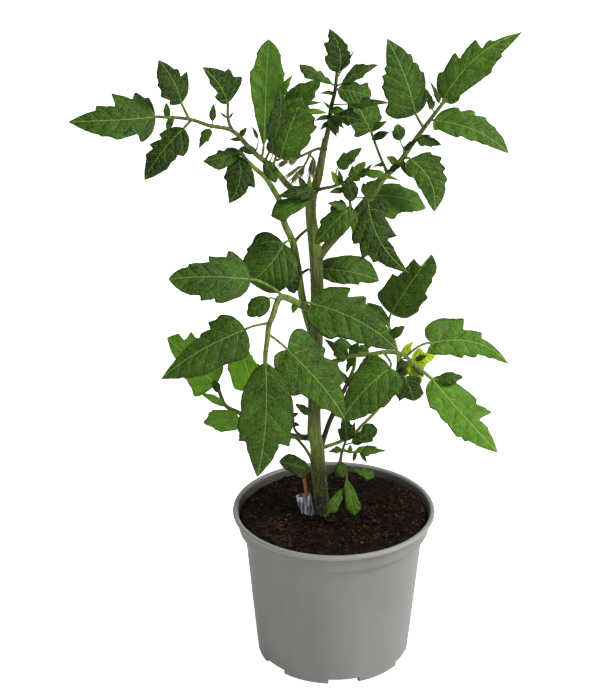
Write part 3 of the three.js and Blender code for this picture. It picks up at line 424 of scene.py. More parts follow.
STEM = {
    "path": [
        [-5, 0, 60], [-5.5, 0, 86], [-7, 0, 98], [-8.5, 0, 113], [-9.5, 0, 130], [-11.5, 0, 145],
        [-11.5, 0, 178], [-10.5, 0, 210], [-10.5, 0, 245], [-12, 0, 264], [-14, 0, 282], [-13, 0, 291],
        [-10, 0, 301], [-8, 0, 312], [-6, 0, 324],
    ],
    "girths": [6, 7.7, 8.1, 7.5, 7.4, 7.5, 7.2, 5.4, 3.3],
}
STICK = {
    "path": [[-13.2, 0.5, 80], [-15.8, 0.5, 102], [-18.6, 0.5, 122]],
    "girths": [2.4, 2.4],
}

# Compound leaves and shoots: limbs, then rows of (margin, foot, tip, width, look). A look's tint
# paints a leaflet's shade (low) or the light through it (above 1) along with its own green
PLANT = {
    "leaf_upper_left": {
        "limbs": [
            {
                "path": [
                    [-13, 0, 284], [-20, -3, 292], [-27, -5, 299], [-35, -7, 310], [-41, -8, 315],
                    [-47, -9, 321], [-57, -10, 332], [-69, -11, 335], [-80, -12, 339], [-97, -14, 341],
                ],
                "girths": [4.4, 3.4, 2.7, 2.1, 1.6],
                "tone": 0.5,
            },
            {
                "path": [[-35, -7, 310], [-33, -1, 315], [-30, 4, 325], [-27, 5, 340]],
                "girths": [1.6, 1.1],
            },
            {
                "path": [[-57, -10, 332], [-59, -9, 338], [-59, -9, 346]],
                "girths": [1.8, 1.4], "tone": 0.15,
            },
        ],
        "leaflets": [
            ["left_end", [-98, -14, 341], [-144, -24, 342], 32, {"bend": -0.05}],
            ["left_upper_outer", [-84, -12, 348], [-95, -16, 373], 19.5, {"bend": 0.05, "tint": -0.05}],
            ["tiny", [-91, -13, 343], [-92, -14, 349], 4],
            ["tiny", [-90, -13, 338], [-92, -15, 333], 4],
            ["left_lower_outer", [-83, -13, 334], [-105, -20, 307], 21.5, {"bend": 0.02, "tint": 0.0}],
            ["oval", [-67.5, -12, 338], [-66.5, -14, 348], 4],
            ["slim", [-69, -11, 333], [-75, -14, 323], 7],
            ["left_upper_inner", [-59, -9, 347], [-72, -12, 368], 27.5, {"bend": 0.06, "tint": -0.05}],
            ["slim", [-60, -9, 339], [-64, -11, 343], 1.6, {"tint": -0.3}],
            ["slim", [-58, -9, 339], [-56, -8, 342], 1.6, {"tint": -0.3}],
            ["oval", [-53, -9, 328], [-49, -10, 333.5], 3.4],
            ["tiny", [-54, -9, 324.5], [-58.5, -11, 327], 2.4],
            ["oval", [-44, -9, 320], [-53, -11, 322], 5.6, {"tint": -0.3}],
            [
                "spoon", [-40, -4, 320], [-37, 2, 380], 19.5,
                {"face": AWAY, "shoulder": 2, "point": 1.5, "tint": 0.5},
            ],
            ["oval", [-43, -6, 326], [-46, -8, 333.5], 2.2],
            ["upper_middle", [-31, -2, 313], [-19, 1, 347], 27, {"tint": 0.45}],
            ["oval", [-29, 5, 338], [-9, 7, 355], 14, {"tint": 0.45}],
            ["slim", [-32, 6, 346], [-24, 8, 358], 7, {"tint": 1.0}],
            ["tiny", [-27, -5, 344], [-8, -7, 347], 3.6],
            ["tiny", [-18, -4, 341], [-5, -7, 341], 3.6, {"tint": 1.3}],
            ["oval", [-35, -10, 325], [-30, -13, 356], 15, {"face": RIGHTWARD, "tint": -0.2}],
            ["oval", [-35, -14, 320], [-35, -15, 329], 7, {"tint": -0.6}],
            ["oval", [-39, -11, 315], [-33, -16, 304], 8],
        ],
    },
    "leaf_side_left": {
        "limbs": [
            {
                "path": [
                    [-12, 1, 203], [-16, 3, 216], [-19, 3, 230], [-21, 2, 245], [-24, 0, 263],
                    [-29, 1, 275],
                    [-31, 2, 286], [-35, 2, 294], [-39, 1, 301], [-45, 0, 307], [-50, -2, 313],
                    [-53, -4, 319],
                ],
                "girths": [4.6, 4.4, 4.2, 3.8, 3, 2],
                "tone": 0.95,
            },
            {"path": [[-24, 1, 262], [-20, 3, 266], [-16, 5, 269]], "girths": [2.2, 1.6], "tone": 0.6},
            {"path": [[-21, 2, 242], [-18, 3, 244], [-15, 5, 245]], "girths": [2, 1.6], "tone": 0.2},
        ],
        "leaflets": [
            [
                "side_hanging", [-54, -5, 316], [-59, -16, 292], 18,
                {"bulge": 0.12, "bend": -0.14, "tint": -0.05},
            ],
            ["side_small", [-53, -5, 318], [-73, -11, 315], 13, {"bend": -0.06}],
            [
                "side_broad", [-29, -7, 265], [-48, -15, 245], 43,
                {"bulge": 0.1, "bend": -0.09, "point": 2, "heart": 0.2, "tint": 0.2},
            ],
            ["oval", [-29, -4, 260], [-23, -6, 234], 15, {"tint": -0.3}],
        ],
    },
    "leaf_upper_right": {
        "limbs": [
            {
                "path": [
                    [-10, 0, 254], [-3, 3, 262], [2, 5, 267], [9, 7, 275], [16, 8, 284], [21, 9, 289],
                    [27, 10, 298], [34, 10, 305], [43, 12, 318], [48.5, 12, 326], [54, 12, 334],
                    [61, 13, 343],
                ],
                "girths": [5.2, 4.8, 4, 3.2, 2.6, 1.8],
                "tone": 0.45,
            },
            {"path": [[29, 10, 300], [24, 9, 312], [19, 8, 326]], "girths": [1.8, 1.4]},
        ],
        "leaflets": [
            ["right_end", [59, 13, 342], [102, 24, 378], 23, {"bend": -0.08, "tint": 0.35}],
            ["slim", [57, 12, 341], [51, 10, 354], 4],
            ["right_upper", [44, 13, 334], [28, 15, 376], 32.5, {"bend": 0.02, "heart": 0.08}],
            ["slim", [53, 12, 337], [50, 14, 348], 5],
            [
                "right_drooping", [54, 11, 331], [96, 6, 314], 22.5,
                {"bend": -0.06, "point": 1.7, "tint": 0.4},
            ],
            ["oval", [35.5, 9, 320], [33.5, 7, 330], 8],
            ["notched", [45, 11, 320], [59, 14, 316], 8],
            ["right_hanging", [41, 7, 310], [55, -2, 282], 31.5, {"bend": -0.14, "point": 1.9}],
            ["tiny", [35, 8, 306], [28, 5, 312], 5],
            ["slim", [37.6, 8, 315], [47.5, 4, 324], 4, {"tint": -0.3}],
            ["tiny", [37, 9, 308], [40, 4, 301], 4],
            ["right_inner", [19, 7, 326], [7, 2, 349], 22],
            ["tiny", [20, 8, 327], [28, 7, 332], 4],
            ["tiny", [22, 8, 322], [29, 6, 326], 5, {"tint": -0.4}],
            ["slim", [26, 9, 306], [20, 5, 306], 3],
            ["slim", [30, 9, 303], [38, 4, 308], 5, {"tint": -0.4}],
            ["right_oval", [20, 14, 286], [52, 20, 277], 31.5, {"face": UPWARD, "tint": 0.5}],
            ["right_front", [18, 0, 287], [41, -16, 251], 27.5, {"bend": 0.13, "tint": 0.0}],
        ],
    },
    "shoot_upper_front": {
        "limbs": [
            {
                "path": [[-12, -2, 294], [-8, -6, 297], [-2, -8, 299], [5, -8, 302], [9, -8, 304]],
                "girths": [2.2, 1.8, 1.4],
            },
            {"path": [[3, -8, 301], [6, -8, 295], [8, -7, 288], [9, -6, 282]], "girths": [1.6, 1.3]},
        ],
        "leaflets": [
            ["slim", [15, -9, 308], [35, -12, 304], 6, {"tint": 0.4}],
            ["notched", [9, -8, 304], [16, -6, 313], 9, {"tint": 0.5}],
            ["slim", [13, -10, 305], [20, -9, 313], 4, {"tint": -0.5}],
            ["notched", [1, -8, 310], [14, -6, 321], 9],
            ["tiny", [0, -8, 303], [-3, -10, 309], 4, {"tint": 1.2}],
            ["tiny", [2, -9, 303], [1, -11, 310], 3, {"tint": -0.5}],
            ["oval", [9, -9, 291], [6, -12, 306], 9, {"tint": -0.3}],
            ["notched", [16, -7, 293], [21, -9, 303], 10, {"tint": 0.4}],
            ["tiny", [4, -9, 297], [-4, -12, 297], 4],
            ["slim", [6, -9, 287], [-5, -12, 291], 8],
            ["notched", [7, -10, 287], [-12, -16, 268], 17],
            ["slim", [10, -9, 285], [9, -13, 273], 6],
        ],
    },
    "shoot_upper_left": {
        "limbs": [
            {
                "path": [[-13, -2, 291], [-14, -6, 294], [-17, -8, 297]],
                "girths": [2.2, 1.5],
            },
        ],
        "leaflets": [
            ["notched", [-12, -9, 297], [-32, -15, 296], 10, {"tint": -0.1}],
            ["young_spoon", [-12, -8, 294], [-36, -16, 285], 13],
            ["tiny", [-17, -8, 297], [-21, -10, 306], 4],
            ["tiny", [-14, -7, 296], [-15, -10, 307], 3, {"tint": 0.8}],
        ],
    },
    "flower_truss": {
        "limbs": [
            {
                "path": [[-8, 0, 317], [-9, -2, 319], [-14, -7, 319], [-20, -10, 317], [-26, -13, 316]],
                "girths": [1.8, 1.5, 1.2],
            },
            {"path": [[-14, -7, 319], [-17, -10, 313], [-21, -13, 309]], "girths": [1.3, 1.1]},
        ],
        "leaflets": [],
        "buds": [
            [[-27, -14, 316], [-32, -15, 313], 2.6],
            [[-22, -12, 316], [-26, -14, 314], 2.2],
            [[-21, -13, 309], [-25, -15, 303], 2.8],
            [[-20, -12, 312], [-28, -14, 306], 1.8],
            [[-18, -11, 312], [-20, -13, 306], 2.4],
            [[-13, -9, 315], [-15, -12, 306], 2.6],
            [[-12, -8, 314], [-13, -11, 305], 2.2],
        ],
    },
    "shoot_top": {
        "limbs": [
            {
                "path": [[-7, 0, 318], [-5, 0, 327], [-4, 0, 334], [-3, 0, 342], [-1, 0, 351], [0, 0, 362]],
                "girths": [3.2, 2.8, 2.4, 2.1, 1.7],
                "tone": 0.15,
            },
        ],
        "leaflets": [
            ["top_leaf", [1, 0, 362], [-4, -5, 387], 17.5, {"bend": 0.1, "tint": 0.0}],
            ["slim", [6, -2, 369], [10, -3, 375.5], 1.4, {"tint": -0.6}],
            ["top_left", [-2, -3, 355.5], [-20, -6, 368], 11, {"shoulder": 2, "tint": 0.15}],
            ["top_right", [2, -2, 355.5], [22.5, 2, 365.5], 11.4, {"shoulder": 2.4, "tint": 0.15}],
            ["tiny", [-3, -5, 350], [-9, -8, 352.5], 2.5, {"tint": -0.3}],
            ["slim", [-3, -3, 342], [-8, -5, 347], 2.5],
            ["top_low", [0.5, -3, 353], [18.5, -6, 350], 16, {"tint": 0.25}],
            ["slim", [8, -7, 346], [29, -11, 348], 7, {"tint": 0.1}],
            ["young_dark", [-2, -6, 339], [15, -12, 338], 12, {"tint": -0.2}],
            ["notched", [-4, -5, 337], [1, -9, 330], 7],
            ["tiny", [-4, -4, 337], [-12, -8, 337], 3, {"tint": -0.5}],
            ["tiny", [-5, -4, 334], [-9, -9, 332], 3, {"tint": -0.3}],
            ["tiny", [-2, -4, 340], [4, -8, 343], 5, {"tint": 0.9}],
            ["tiny", [-3, -5, 337], [4, -9, 333], 4, {"tint": 1.2}],
            ["tiny", [-4, -5, 334], [0, -9, 328], 4, {"tint": 0.6}],
        ],
    },
    "leaf_front_left": {
        "limbs": [
            {
                "path": [
                    [-11, -1, 218], [-14, -7, 225], [-20, -14, 231], [-26, -22, 238], [-31, -30, 242],
                    [-33, -35, 240], [-35, -40, 235], [-37, -43, 231], [-38, -46, 223], [-39, -49, 216],
                    [-39, -51, 209],
                ],
                "girths": [4.6, 4.2, 3.8, 3.4, 3, 2.6],
                "tone": 0.7,
            },
        ],
        "leaflets": [
            [
                "front_hanging", [-39, -51, 211], [-44, -62, 146], 31.5,
                {"bulge": 0.05, "bend": -0.04, "shoulder": 1.5, "tint": 0.2},
            ],
            ["front_left_far", [-47, -35, 255], [-91, -46, 260], 32.5, {"point": 2.2}],
            ["oval", [-37, -36, 244], [-49, -39, 235], 12],
            ["front_left_low", [-50, -44, 229], [-97, -52, 203], 30, {"bend": 0.02}],
            [
                "front_low_right", [-27, -42, 216], [6, -40, 172], 33,
                {"bend": -0.02, "heart": 0.24, "tint": 0.2},
            ],
            [
                "front_right", [-14, -19, 234], [35, -26, 209], 32.5,
                {"bend": -0.05, "heart": 0.1, "tint": 0.22},
            ],
            ["tiny", [-21, -18, 233], [-24, -22, 229], 4],
        ],
    },
    "leaf_back_left": {
        "limbs": [
            {
                "path": [
                    [-11, 0, 141], [-16, 4, 139], [-24, 8, 138], [-38, 14, 140], [-48, 18, 143],
                    [-57, 22, 147],
                    [-64, 24, 150], [-68, 26, 159],
                ],
                "girths": [4, 3.4, 2.8, 2.2],
                "tone": 0.55,
            },
            {
                "path": [[-17, 3, 139], [-19, -2, 143], [-23, -4, 148], [-24, -6, 159]],
                "girths": [1.8, 1.3], "tone": 0.1,
            },
            {
                "path": [[-15, 3, 140], [-15, -3, 150], [-15, -5, 156], [-15, -6, 160]],
                "girths": [1.6, 1.2], "tone": 0.3,
            },
        ],
        "leaflets": [
            ["back_broad", [-70, 26, 163], [-98, 31, 191], 28, {"tint": 1.25}],
            ["back_middle", [-48, 25, 160], [-55, 28, 187], 22, {"tint": 1.5, "point": 2}],
            ["tiny", [-70, 24, 158], [-71, 25, 166], 5, {"tint": -0.6}],
            ["tiny", [-69, 22, 149], [-79, 21, 160], 5, {"tint": 1.3}],
            ["back_low", [-56, 18, 144], [-77, 14, 144], 14, {"tint": 1.1, "point": 2}],
            ["oval", [-15.5, -6, 160], [-22.5, -9, 167], 5, {"tint": 0.0}],
            ["tiny", [-24, -6, 152], [-20, -8, 153], 2.6, {"tint": -0.4}],
            ["tiny", [-24, -6, 158], [-21, -8, 161], 2.6, {"tint": -0.4}],
            ["tiny", [-24, -6, 155], [-27, -7, 158], 2.2, {"tint": -0.4}],
        ],
    },
    "leaf_right": {
        "limbs": [
            {
                "path": [
                    [-10, -1, 182], [-6, -6, 190], [3, -9, 195], [10, -11, 199], [20, -13, 200],
                    [28, -14, 202],
                    [38, -15, 201], [43, -16, 197], [49, -17, 192], [56, -18, 186],
                ],
                "girths": [3.6, 3.1, 2.7, 2.4, 2],
                "tone": 0.8,
            },
        ],
        "leaflets": [
            [
                "low_right_light", [56, -18, 186], [94, -28, 145], 27,
                {"bend": 0.03, "heart": 0.08, "tint": 0.75},
            ],
            [
                "low_right_upper", [54.5, -14, 207.5], [100, -8, 192], 28,
                {"bend": -0.12, "heart": 0.3, "tint": 0.5},
            ],
            [
                "low_right_inner", [31, -20, 195], [3, -27, 164], 30.5,
                {"bend": 0.04, "heart": 0.14, "tint": 0.3},
            ],
            ["oval", [58, -19, 187], [72.5, -18, 188.5], 7.4, {"point": 2}],
            ["slim", [6, -10, 197], [-6, -14, 210], 10],
            ["tiny", [8, -11, 200], [13, -12, 207], 6],
            ["slim", [10, -11, 198], [6, -13, 188], 5],
        ],
    },
    "leaf_back_right": {
        "limbs": [
            {
                "path": [
                    [-9, 0, 133], [-6, 3, 133], [5, 7, 135.5], [11, 11, 137], [17, 15, 142],
                    [23, 20, 146],
                    [28, 23, 151], [33, 26, 158], [37, 30, 167], [38, 31, 177], [36, 29, 188],
                    [31, 25, 203],
                ],
                "girths": [2.4, 2, 2, 2, 1.8],
                "tone": 0.95,
            },
            {
                "path": [
                    [-8, 3, 131], [-6, 5, 138], [-3, 7, 147], [1, 9, 156], [4, 10, 163], [9, 11, 174],
                    [12, 12, 184], [11, 13, 193],
                ],
                "girths": [3.2, 3, 2.4, 1.6],
                "tone": 0.0,
            },
        ],
        "leaflets": [
            ["back_right_top", [33, 25, 209], [55, 22, 247], 27, {"point": 2.4}],
            ["back_right_low", [42, 26, 168], [48, 24, 153], 19, {"tint": -0.1}],
            ["oval", [44, 30, 175], [37, 27, 174], 6, {"tint": -0.5}],
            ["oval", [42, 29, 173], [39, 26, 167], 6, {"tint": -0.5}],
            ["oval", [32, 22, 195], [41, 23, 202], 6.5],
            ["tiny", [47, 33, 173], [54, 32, 165], 3.4, {"tint": 0.2}],
            ["tiny", [48, 32, 176], [55, 33, 179], 3.4, {"tint": -0.5}],
            ["tiny", [30, 25, 206], [19, 28, 215], 8],
            ["slim", [8, 11, 171], [3, 13, 179], 5],
            ["oval", [10, 13, 194], [0, 9, 198], 8, {"face": UPWARD}],
            ["oval", [13, 13, 187], [20, 17, 193], 7],
        ],
    },
    "leaf_yellow": {
        "limbs": [
            {"path": [[38, 31, 175], [40, 33, 179], [43, 34, 182]], "girths": [1.8, 1.4]},
        ],
        "leaflets": [
            ["yellow_star", [46, 35, 174], [61, 37, 179], 15],
            ["yellow_low", [46, 35, 174], [50, 33, 157], 12],
            ["tiny", [39, 33, 182], [47, 35, 187], 4],
            ["tiny", [42, 33, 178], [46, 34, 183], 4],
        ],
    },
    "leaf_behind_stem": {
        "limbs": [
            {"path": [[-10, 1, 233], [-12, 6, 238], [-14, 10, 243]], "girths": [2.4, 2]},
        ],
        "leaflets": [
            [
                "behind_stem", [-12, 10, 243], [26, 15, 234], 21.5,
                {"bulge": 0.1, "bend": -0.02, "point": 2, "tint": 0.25},
            ],
        ],
    },
    "shoot_young": {
        "limbs": [
            {
                "path": [
                    [-8, 0, 114], [-6, -4, 118], [-1, -8, 124], [3, -9, 129], [4, -9, 134],
                    [5, -10, 139], [7, -10, 145],
                ],
                "girths": [2.8, 2.2, 1.8, 1.4],
            },
            {"path": [[3, -9, 130], [7, -11, 127], [7, -14, 122], [7, -15, 117]], "girths": [1.5, 1.2]},
            {
                "path": [[5, -10, 138], [9, -12, 137.5], [15, -13, 138.5]],
                "girths": [1.7, 1.2], "tone": 0.6,
            },
        ],
        "leaflets": [
            ["notched", [7, -10, 145], [6, -12, 163], 10, {"tint": -0.1}],
            ["slim", [9, -9, 145], [12, -7, 155], 5],
            ["young_right", [10, -9, 142], [25, -7, 150], 12, {"point": 2}],
            ["tiny", [18, -10, 142], [25, -10, 140], 4],
            ["slim", [14, -12, 138], [30, -15, 140], 7, {"tint": 0.5}],
            ["tiny", [12, -13, 138], [11, -14, 132], 2.6, {"tint": -0.4}],
            ["tiny", [9, -12, 138], [9, -13, 143], 3, {"tint": 0.6}],
            ["tiny", [13, -13, 138.5], [17, -13, 142], 3.4, {"tint": 1.0}],
            ["tiny", [15, -13, 137], [19, -15, 132], 2.6, {"tint": -0.4}],
            ["slim", [4, -11, 139], [-4, -15, 139], 5],
            ["young_spoon", [7, -14, 121], [12, -24, 102], 10, {"tint": 0.4, "shoulder": 2}],
            ["young_spoon", [6, -15, 116], [-4, -24, 104], 8.5, {"tint": 0.4, "shoulder": 1.5}],
            ["oval", [3, -12, 130], [5, -16, 123], 8.5],
            ["young_spoon", [11, -12, 127], [23, -14, 122], 7, {"tint": 0.4}],
        ],
    },
    "shoot_basal_left": {
        "limbs": [
            {"path": [[-8, 0, 113], [-13, -4, 121], [-16, -5, 124]], "girths": [2, 1.6]},
            {
                "path": [[-10, -3, 116], [-12, -3, 122], [-14, -3, 130], [-18, -3, 137], [-22, -3, 142]],
                "girths": [2.2, 1.6],
            },
        ],
        "leaflets": [
            ["basal", [-15, -6, 123], [-32, -11, 131], 13.5, {"point": 2, "tint": 0.0}],
        ],
    },
}


def srgb(red, green, blue):
    """The linear colour of three screen values from 0 to 255."""
    return tuple(
        value / 255 / 12.92 if value <= 10 else ((value / 255 + 0.055) / 1.055) ** 2.4
        for value in (red, green, blue)
    )


def colour_of(text, description, default):
    """A colour that can be changed in the panel."""
    return FloatVectorProperty(
        name=text, description=description, default=default, subtype="COLOR", size=3, min=0, max=1
    )


def length_of(text, description, default):
    """A length in metres that can be changed in the panel."""
    return FloatProperty(
        name=text, description=description, default=default, subtype="DISTANCE", unit="LENGTH", min=0
    )


class TOMATO_PG_leaves(bpy.types.PropertyGroup):
    """Sizes and colours of the leaves."""

    thickness: length_of("Blade thickness", "Thickness of a leaflet's blade", 0.00042)
    stalk: length_of("Stalk thickness", "Diameter of a leaflet's stalk", 0.0015)
    quilt: FloatProperty(
        name="Quilting", description="Rise between side veins, as a share of the width", default=0.011
    )
    waves: FloatProperty(
        name="Waves", description="Waviness of the margin, as a share of the width", default=0.05
    )
    deep: colour_of("Deep green", "Shaded, mature leaf", srgb(24, 47, 8))
    fresh: colour_of("Fresh green", "Leaf with light through it", srgb(92, 138, 34))
    vein: colour_of("Vein", "Midribs and side veins", srgb(126, 160, 62))
    under: colour_of("Underside", "Pale lower face", srgb(62, 98, 34))
    lit: colour_of("Lit green", "Thin leaf with the light behind it", srgb(112, 170, 18))
    yellow: colour_of("Yellowing", "The old leaf that turns yellow", srgb(184, 210, 40))


class TOMATO_PG_stems(bpy.types.PropertyGroup):
    """Sizes and colours of stems, stalks and hairs."""

    hair: length_of("Hair length", "Length of the stem hairs", 0.0011)
    hair_gap: length_of("Hair spacing", "Mean distance between hairs", 0.0019)
    green: colour_of("Stem green", "Upper stem and stalks", srgb(116, 138, 56))
    bark: colour_of("Stem foot", "Woody foot of the stem", srgb(60, 51, 32))
    hair_tone: colour_of("Hair", "Fine pale hairs", srgb(150, 160, 110))
    foot_tone: colour_of("Foot hair", "Pale dry hairs on the foot", srgb(196, 196, 178))


class TOMATO_PG_pot(bpy.types.PropertyGroup):
    """Sizes and colours of the pot and what stands in it."""

    rim: length_of("Rim diameter", "Outer diameter over the rolled rim", 0.120)
    height: length_of("Height", "Height of the pot", 0.095)
    wall: length_of("Wall", "Wall thickness", 0.0016)
    grey: colour_of("Pot grey", "Moulded grey plastic", srgb(119, 120, 115))
    peat: colour_of("Peat", "Dark moist soil", srgb(23, 14, 8))
    fibre: colour_of("Fibre", "Reddish fibres in the soil", srgb(104, 72, 50))
    crumbs: IntProperty(name="Crumbs", description="Loose crumbs on the soil", default=2600, min=0)


class TOMATO_PG_studio(bpy.types.PropertyGroup):
    """Camera and light."""

    lens: FloatProperty(name="Lens", description="Focal length in millimetres", default=107.59)
    distance: length_of("Distance", "Camera to the aim point", 1.2)
    rise: FloatProperty(
        name="Elevation", description="Camera height angle", default=math.radians(24), subtype="ANGLE"
    )
    sky: FloatProperty(name="Sky", description="Strength of the even white surround", default=0.44)
    key: FloatProperty(name="Key light", description="Power of the main light", default=37)
    fill: FloatProperty(name="Fill light", description="Power of the left light", default=0.3)
    floor_glow: FloatProperty(name="Floor glow", description="Light the pale floor gives", default=0.3)


def settings():
    """The scene, which holds the sizes and colours of each piece."""
    return bpy.context.scene


def within(low, value, high):
    """The value, kept between low and high."""
    return min(max(value, low), high)


def paler(colour, gain, lift=0.0):
    """A colour made lighter, and no lighter than white."""
    return [min(1.0, value * gain + lift) for value in colour]


def darker(colour, gain):
    """A colour made darker."""
    return [value * gain for value in colour]


# Curves


def smooth_points(path, per_span=8):
    """Points on a smooth centripetal curve through the path."""
    knots = [Vector(point) for point in path]
    knots = [knots[0] * 2 - knots[1], *knots, knots[-1] * 2 - knots[-2]]
    points = []
    for a, b, c, d in zip(knots, knots[1:], knots[2:], knots[3:]):
        first, middle, last = (max((q - p).length, 1e-6) ** 0.5 for p, q in ((a, b), (b, c), (c, d)))
        leave = ((b - a) / first - (c - a) / (first + middle) + (c - b) / middle) * middle
        arrive = ((c - b) / middle - (d - b) / (middle + last) + (d - c) / last) * middle
        for step in range(per_span):
            t = step / per_span
            points.append(
                b * (2 * t**3 - 3 * t**2 + 1)
                + c * (3 * t**2 - 2 * t**3)
                + leave * (t**3 - 2 * t**2 + t)
                + arrive * (t**3 - t**2)
            )
    return [*points, knots[-2]]


class Line:
    """A curve that gives its point and direction at a share of its length."""

    def __init__(self, points, tone=PLAIN_TONE):
        self.points, self.tone = points, tone
        self.marks = [0.0]
        for a, b in zip(points, points[1:]):
            self.marks.append(self.marks[-1] + (b - a).length)
        self.length = self.marks[-1]

    def at(self, share):
        """The point at a share of the length."""
        want = within(0, share, 1) * self.length
        low = 0
        while low < len(self.marks) - 2 and self.marks[low + 1] < want:
            low += 1
        span = self.marks[low + 1] - self.marks[low]
        part = (want - self.marks[low]) / span if span else 0
        return self.points[low].lerp(self.points[low + 1], part)

    def heading(self, share):
        """The direction at a share of the length."""
        step = 0.01
        return (self.at(share + step) - self.at(share - step)).normalized()

    def nearest(self, foot, samples=40):
        """(gap, share) of the point on the line that is nearest to foot."""
        return min(((self.at(i / samples) - foot).length, i / samples) for i in range(samples + 1))


def girth_at(girths, share):
    """The value at a share of the way along a list of evenly spread values."""
    place = within(0, share, 1) * (len(girths) - 1)
    low = min(int(place), len(girths) - 2)
    return girths[low] + (girths[low + 1] - girths[low]) * (place - low)


# Mesh pieces, in millimetres


def grid_of(mesh, columns, rows):
    """A new grid's vertices as lists, one for each of its columns + 1 lines."""
    made = bmesh.ops.create_grid(mesh, x_segments=columns, y_segments=rows, size=1)["verts"]
    lines = [[None] * (rows + 1) for _ in range(columns + 1)]
    for vert in made:
        i = round((vert.co.x + 1) / 2 * columns)
        j = round((vert.co.y + 1) / 2 * rows)
        lines[i][j] = vert
    return lines


def faces_at(verts):
    """Every face that meets one of the vertices."""
    return {face for vert in verts for face in vert.link_faces}


def turn_outward(faces, wanted):
    """Turns the faces over if most of them look against the wanted direction."""
    total = 0
    for face in faces:
        face.normal_update()
        total += face.normal.dot(wanted) * face.calc_area()
    if total < 0:
        for face in faces:
            face.normal_flip()


def tube(mesh, line, girths, sides, steps, slot=0, shape=None, tones=(PLAIN_TONE, PLAIN_TONE)):
    """A round limb along a line. Shape may change the radius by (share, angle)."""
    lines = grid_of(mesh, steps, sides)
    heading = line.heading(0)
    side = heading.orthogonal().normalized()
    along, tone = (mesh.verts.layers.float[name] for name in ("forward", "tint"))
    for i, ring in enumerate(lines):
        share = i / steps
        turned = line.heading(share)
        side = (heading.rotation_difference(turned) @ side).normalized()
        heading = turned
        other = heading.cross(side)
        middle = line.at(share)
        for j, vert in enumerate(ring):
            angle = 2 * math.pi * j / sides
            radius = girth_at(girths, share) / 2
            if shape:
                radius *= shape(share, angle)
            vert.co = middle + (side * math.cos(angle) + other * math.sin(angle)) * radius
            vert[along] = share * line.length
            vert[tone] = girth_at(tones, share)
    verts = [vert for ring in lines for vert in ring]
    faces = list(faces_at(verts))
    for face in faces:
        face.material_index = slot
        face.smooth = True
    bmesh.ops.remove_doubles(mesh, verts=verts, dist=FINE_WELD)
    faces = [face for face in faces if face.is_valid]
    edges = {edge for face in faces for edge in face.edges if edge.is_boundary}
    made = bmesh.ops.holes_fill(mesh, edges=list(edges), sides=sides + 1)["faces"]
    for face in made:
        face.material_index = slot
    bmesh.ops.recalc_face_normals(mesh, faces=faces + made)


def margin_half(teeth, share, shoulder, point):
    """Half width of a leaflet, as a share of its widest half, at a share of its length."""
    last, low = 0.0, 0.0
    for place, width, notch, notch_width in teeth:
        if share <= place:
            part = (share - last) / (place - last)
            if last == 0:
                return width * math.sin(part * math.pi / 2) ** (FOOT_FULLNESS * shoulder)
            return low + (width - low) * math.sin(part * math.pi / 2) ** TOOTH_FULLNESS
        if share <= notch:
            return width + (notch_width - width) * (share - place) / (notch - place)
        last, low = notch, notch_width
    part = (share - last) / (1 - last)
    return low * (1 - part**point)


def rounded_half(teeth, share, shoulder, point, blur):
    """The same, with each tooth and notch rounded over a short stretch."""
    steps = [within(0, share + blur * k / 2, 1) for k in (-2, -1, 0, 1, 2)]
    if share in (0, 1):
        steps = [share]
    return sum(margin_half(teeth, step, shoulder, point) for step in steps) / len(steps)


def serration(place):
    """How far the fine teeth stand out at a place along the margin, from 0 to 1."""
    phase = place / SERRATION_STEP % 1
    return phase / SERRATION_RISE if phase < SERRATION_RISE else (1 - phase) / (1 - SERRATION_RISE)


def row_shares(teeth, rows, blur, length):
    """Shares of a leaflet's length for its rows, with some at each tooth and each notch."""
    marks = {*FOOT_ROWS, 1 - blur, 1.0}
    for k in range(int(length / SERRATION_STEP)):
        marks |= {k * SERRATION_STEP / length, (k + SERRATION_RISE) * SERRATION_STEP / length}
    for place, _, notch, _ in teeth:
        marks |= {place - blur, place, notch, notch + blur}
    marks = sorted(mark for mark in marks if 0 <= mark <= 1)
    shares = []
    for a, b in zip(marks, marks[1:]):
        count = max(1, round((b - a) * rows))
        shares += [a + (b - a) * i / count for i in range(count)]
    return [*shares, 1.0]


class Blade:
    """Where each point of one leaflet's blade lies, in millimetres."""

    def __init__(self, foot, tip, width, look):
        self.foot, self.width, self.look = foot, width, look
        self.along = (Vector(tip) - foot).normalized()
        self.length = (Vector(tip) - foot).length
        face = Vector(look.get("face", TO_VIEWER))
        self.out = (face - self.along * face.dot(self.along)).normalized()
        self.across = self.along.cross(self.out)
        self.seed = Vector((foot.x * 0.37, foot.y * 0.53, foot.z * 0.29))

    def place(self, share, sideways, quilt=0.0, waves=0.0):
        """The point at a share of the length and a way sideways, raised by quilting and waves."""
        reach = abs(sideways) / (self.width / 2)
        sweep = VEIN_SWEEP * min(1.0, BASE_SWEEP + SWEEP_RISE * max(share, 0.0))
        forward = share * self.length + abs(sideways) * sweep * (1 - SWEEP_CURVE + SWEEP_CURVE * reach)
        heart = self.look.get("heart", 0.04) * max(0.0, 1 - share / HEART_SHARE) ** 2
        forward -= heart * self.length * reach
        part = forward / self.length
        arch = self.length * ARCH_PEAK * part * (1 - part)
        bent = sideways + self.look.get("bend", 0) * arch
        point = self.foot + self.along * forward + self.across * bent
        wave_length = self.width * 0.42 + 3
        wave = noise.noise(point / wave_length + self.seed) * reach
        rise = self.look.get("bulge", 0.08) * arch + BLADE_FOLD * abs(sideways)
        rise += quilt + self.width * waves * wave
        rise -= TIP_CURL * self.length * (2 * max(0.0, part - CURL_START)) ** 2
        return point + self.out * rise


def side_veins(width):
    """How many side veins each half of a leaflet has."""
    if width > 14:
        return 6
    return 4 if width > 8 else 3


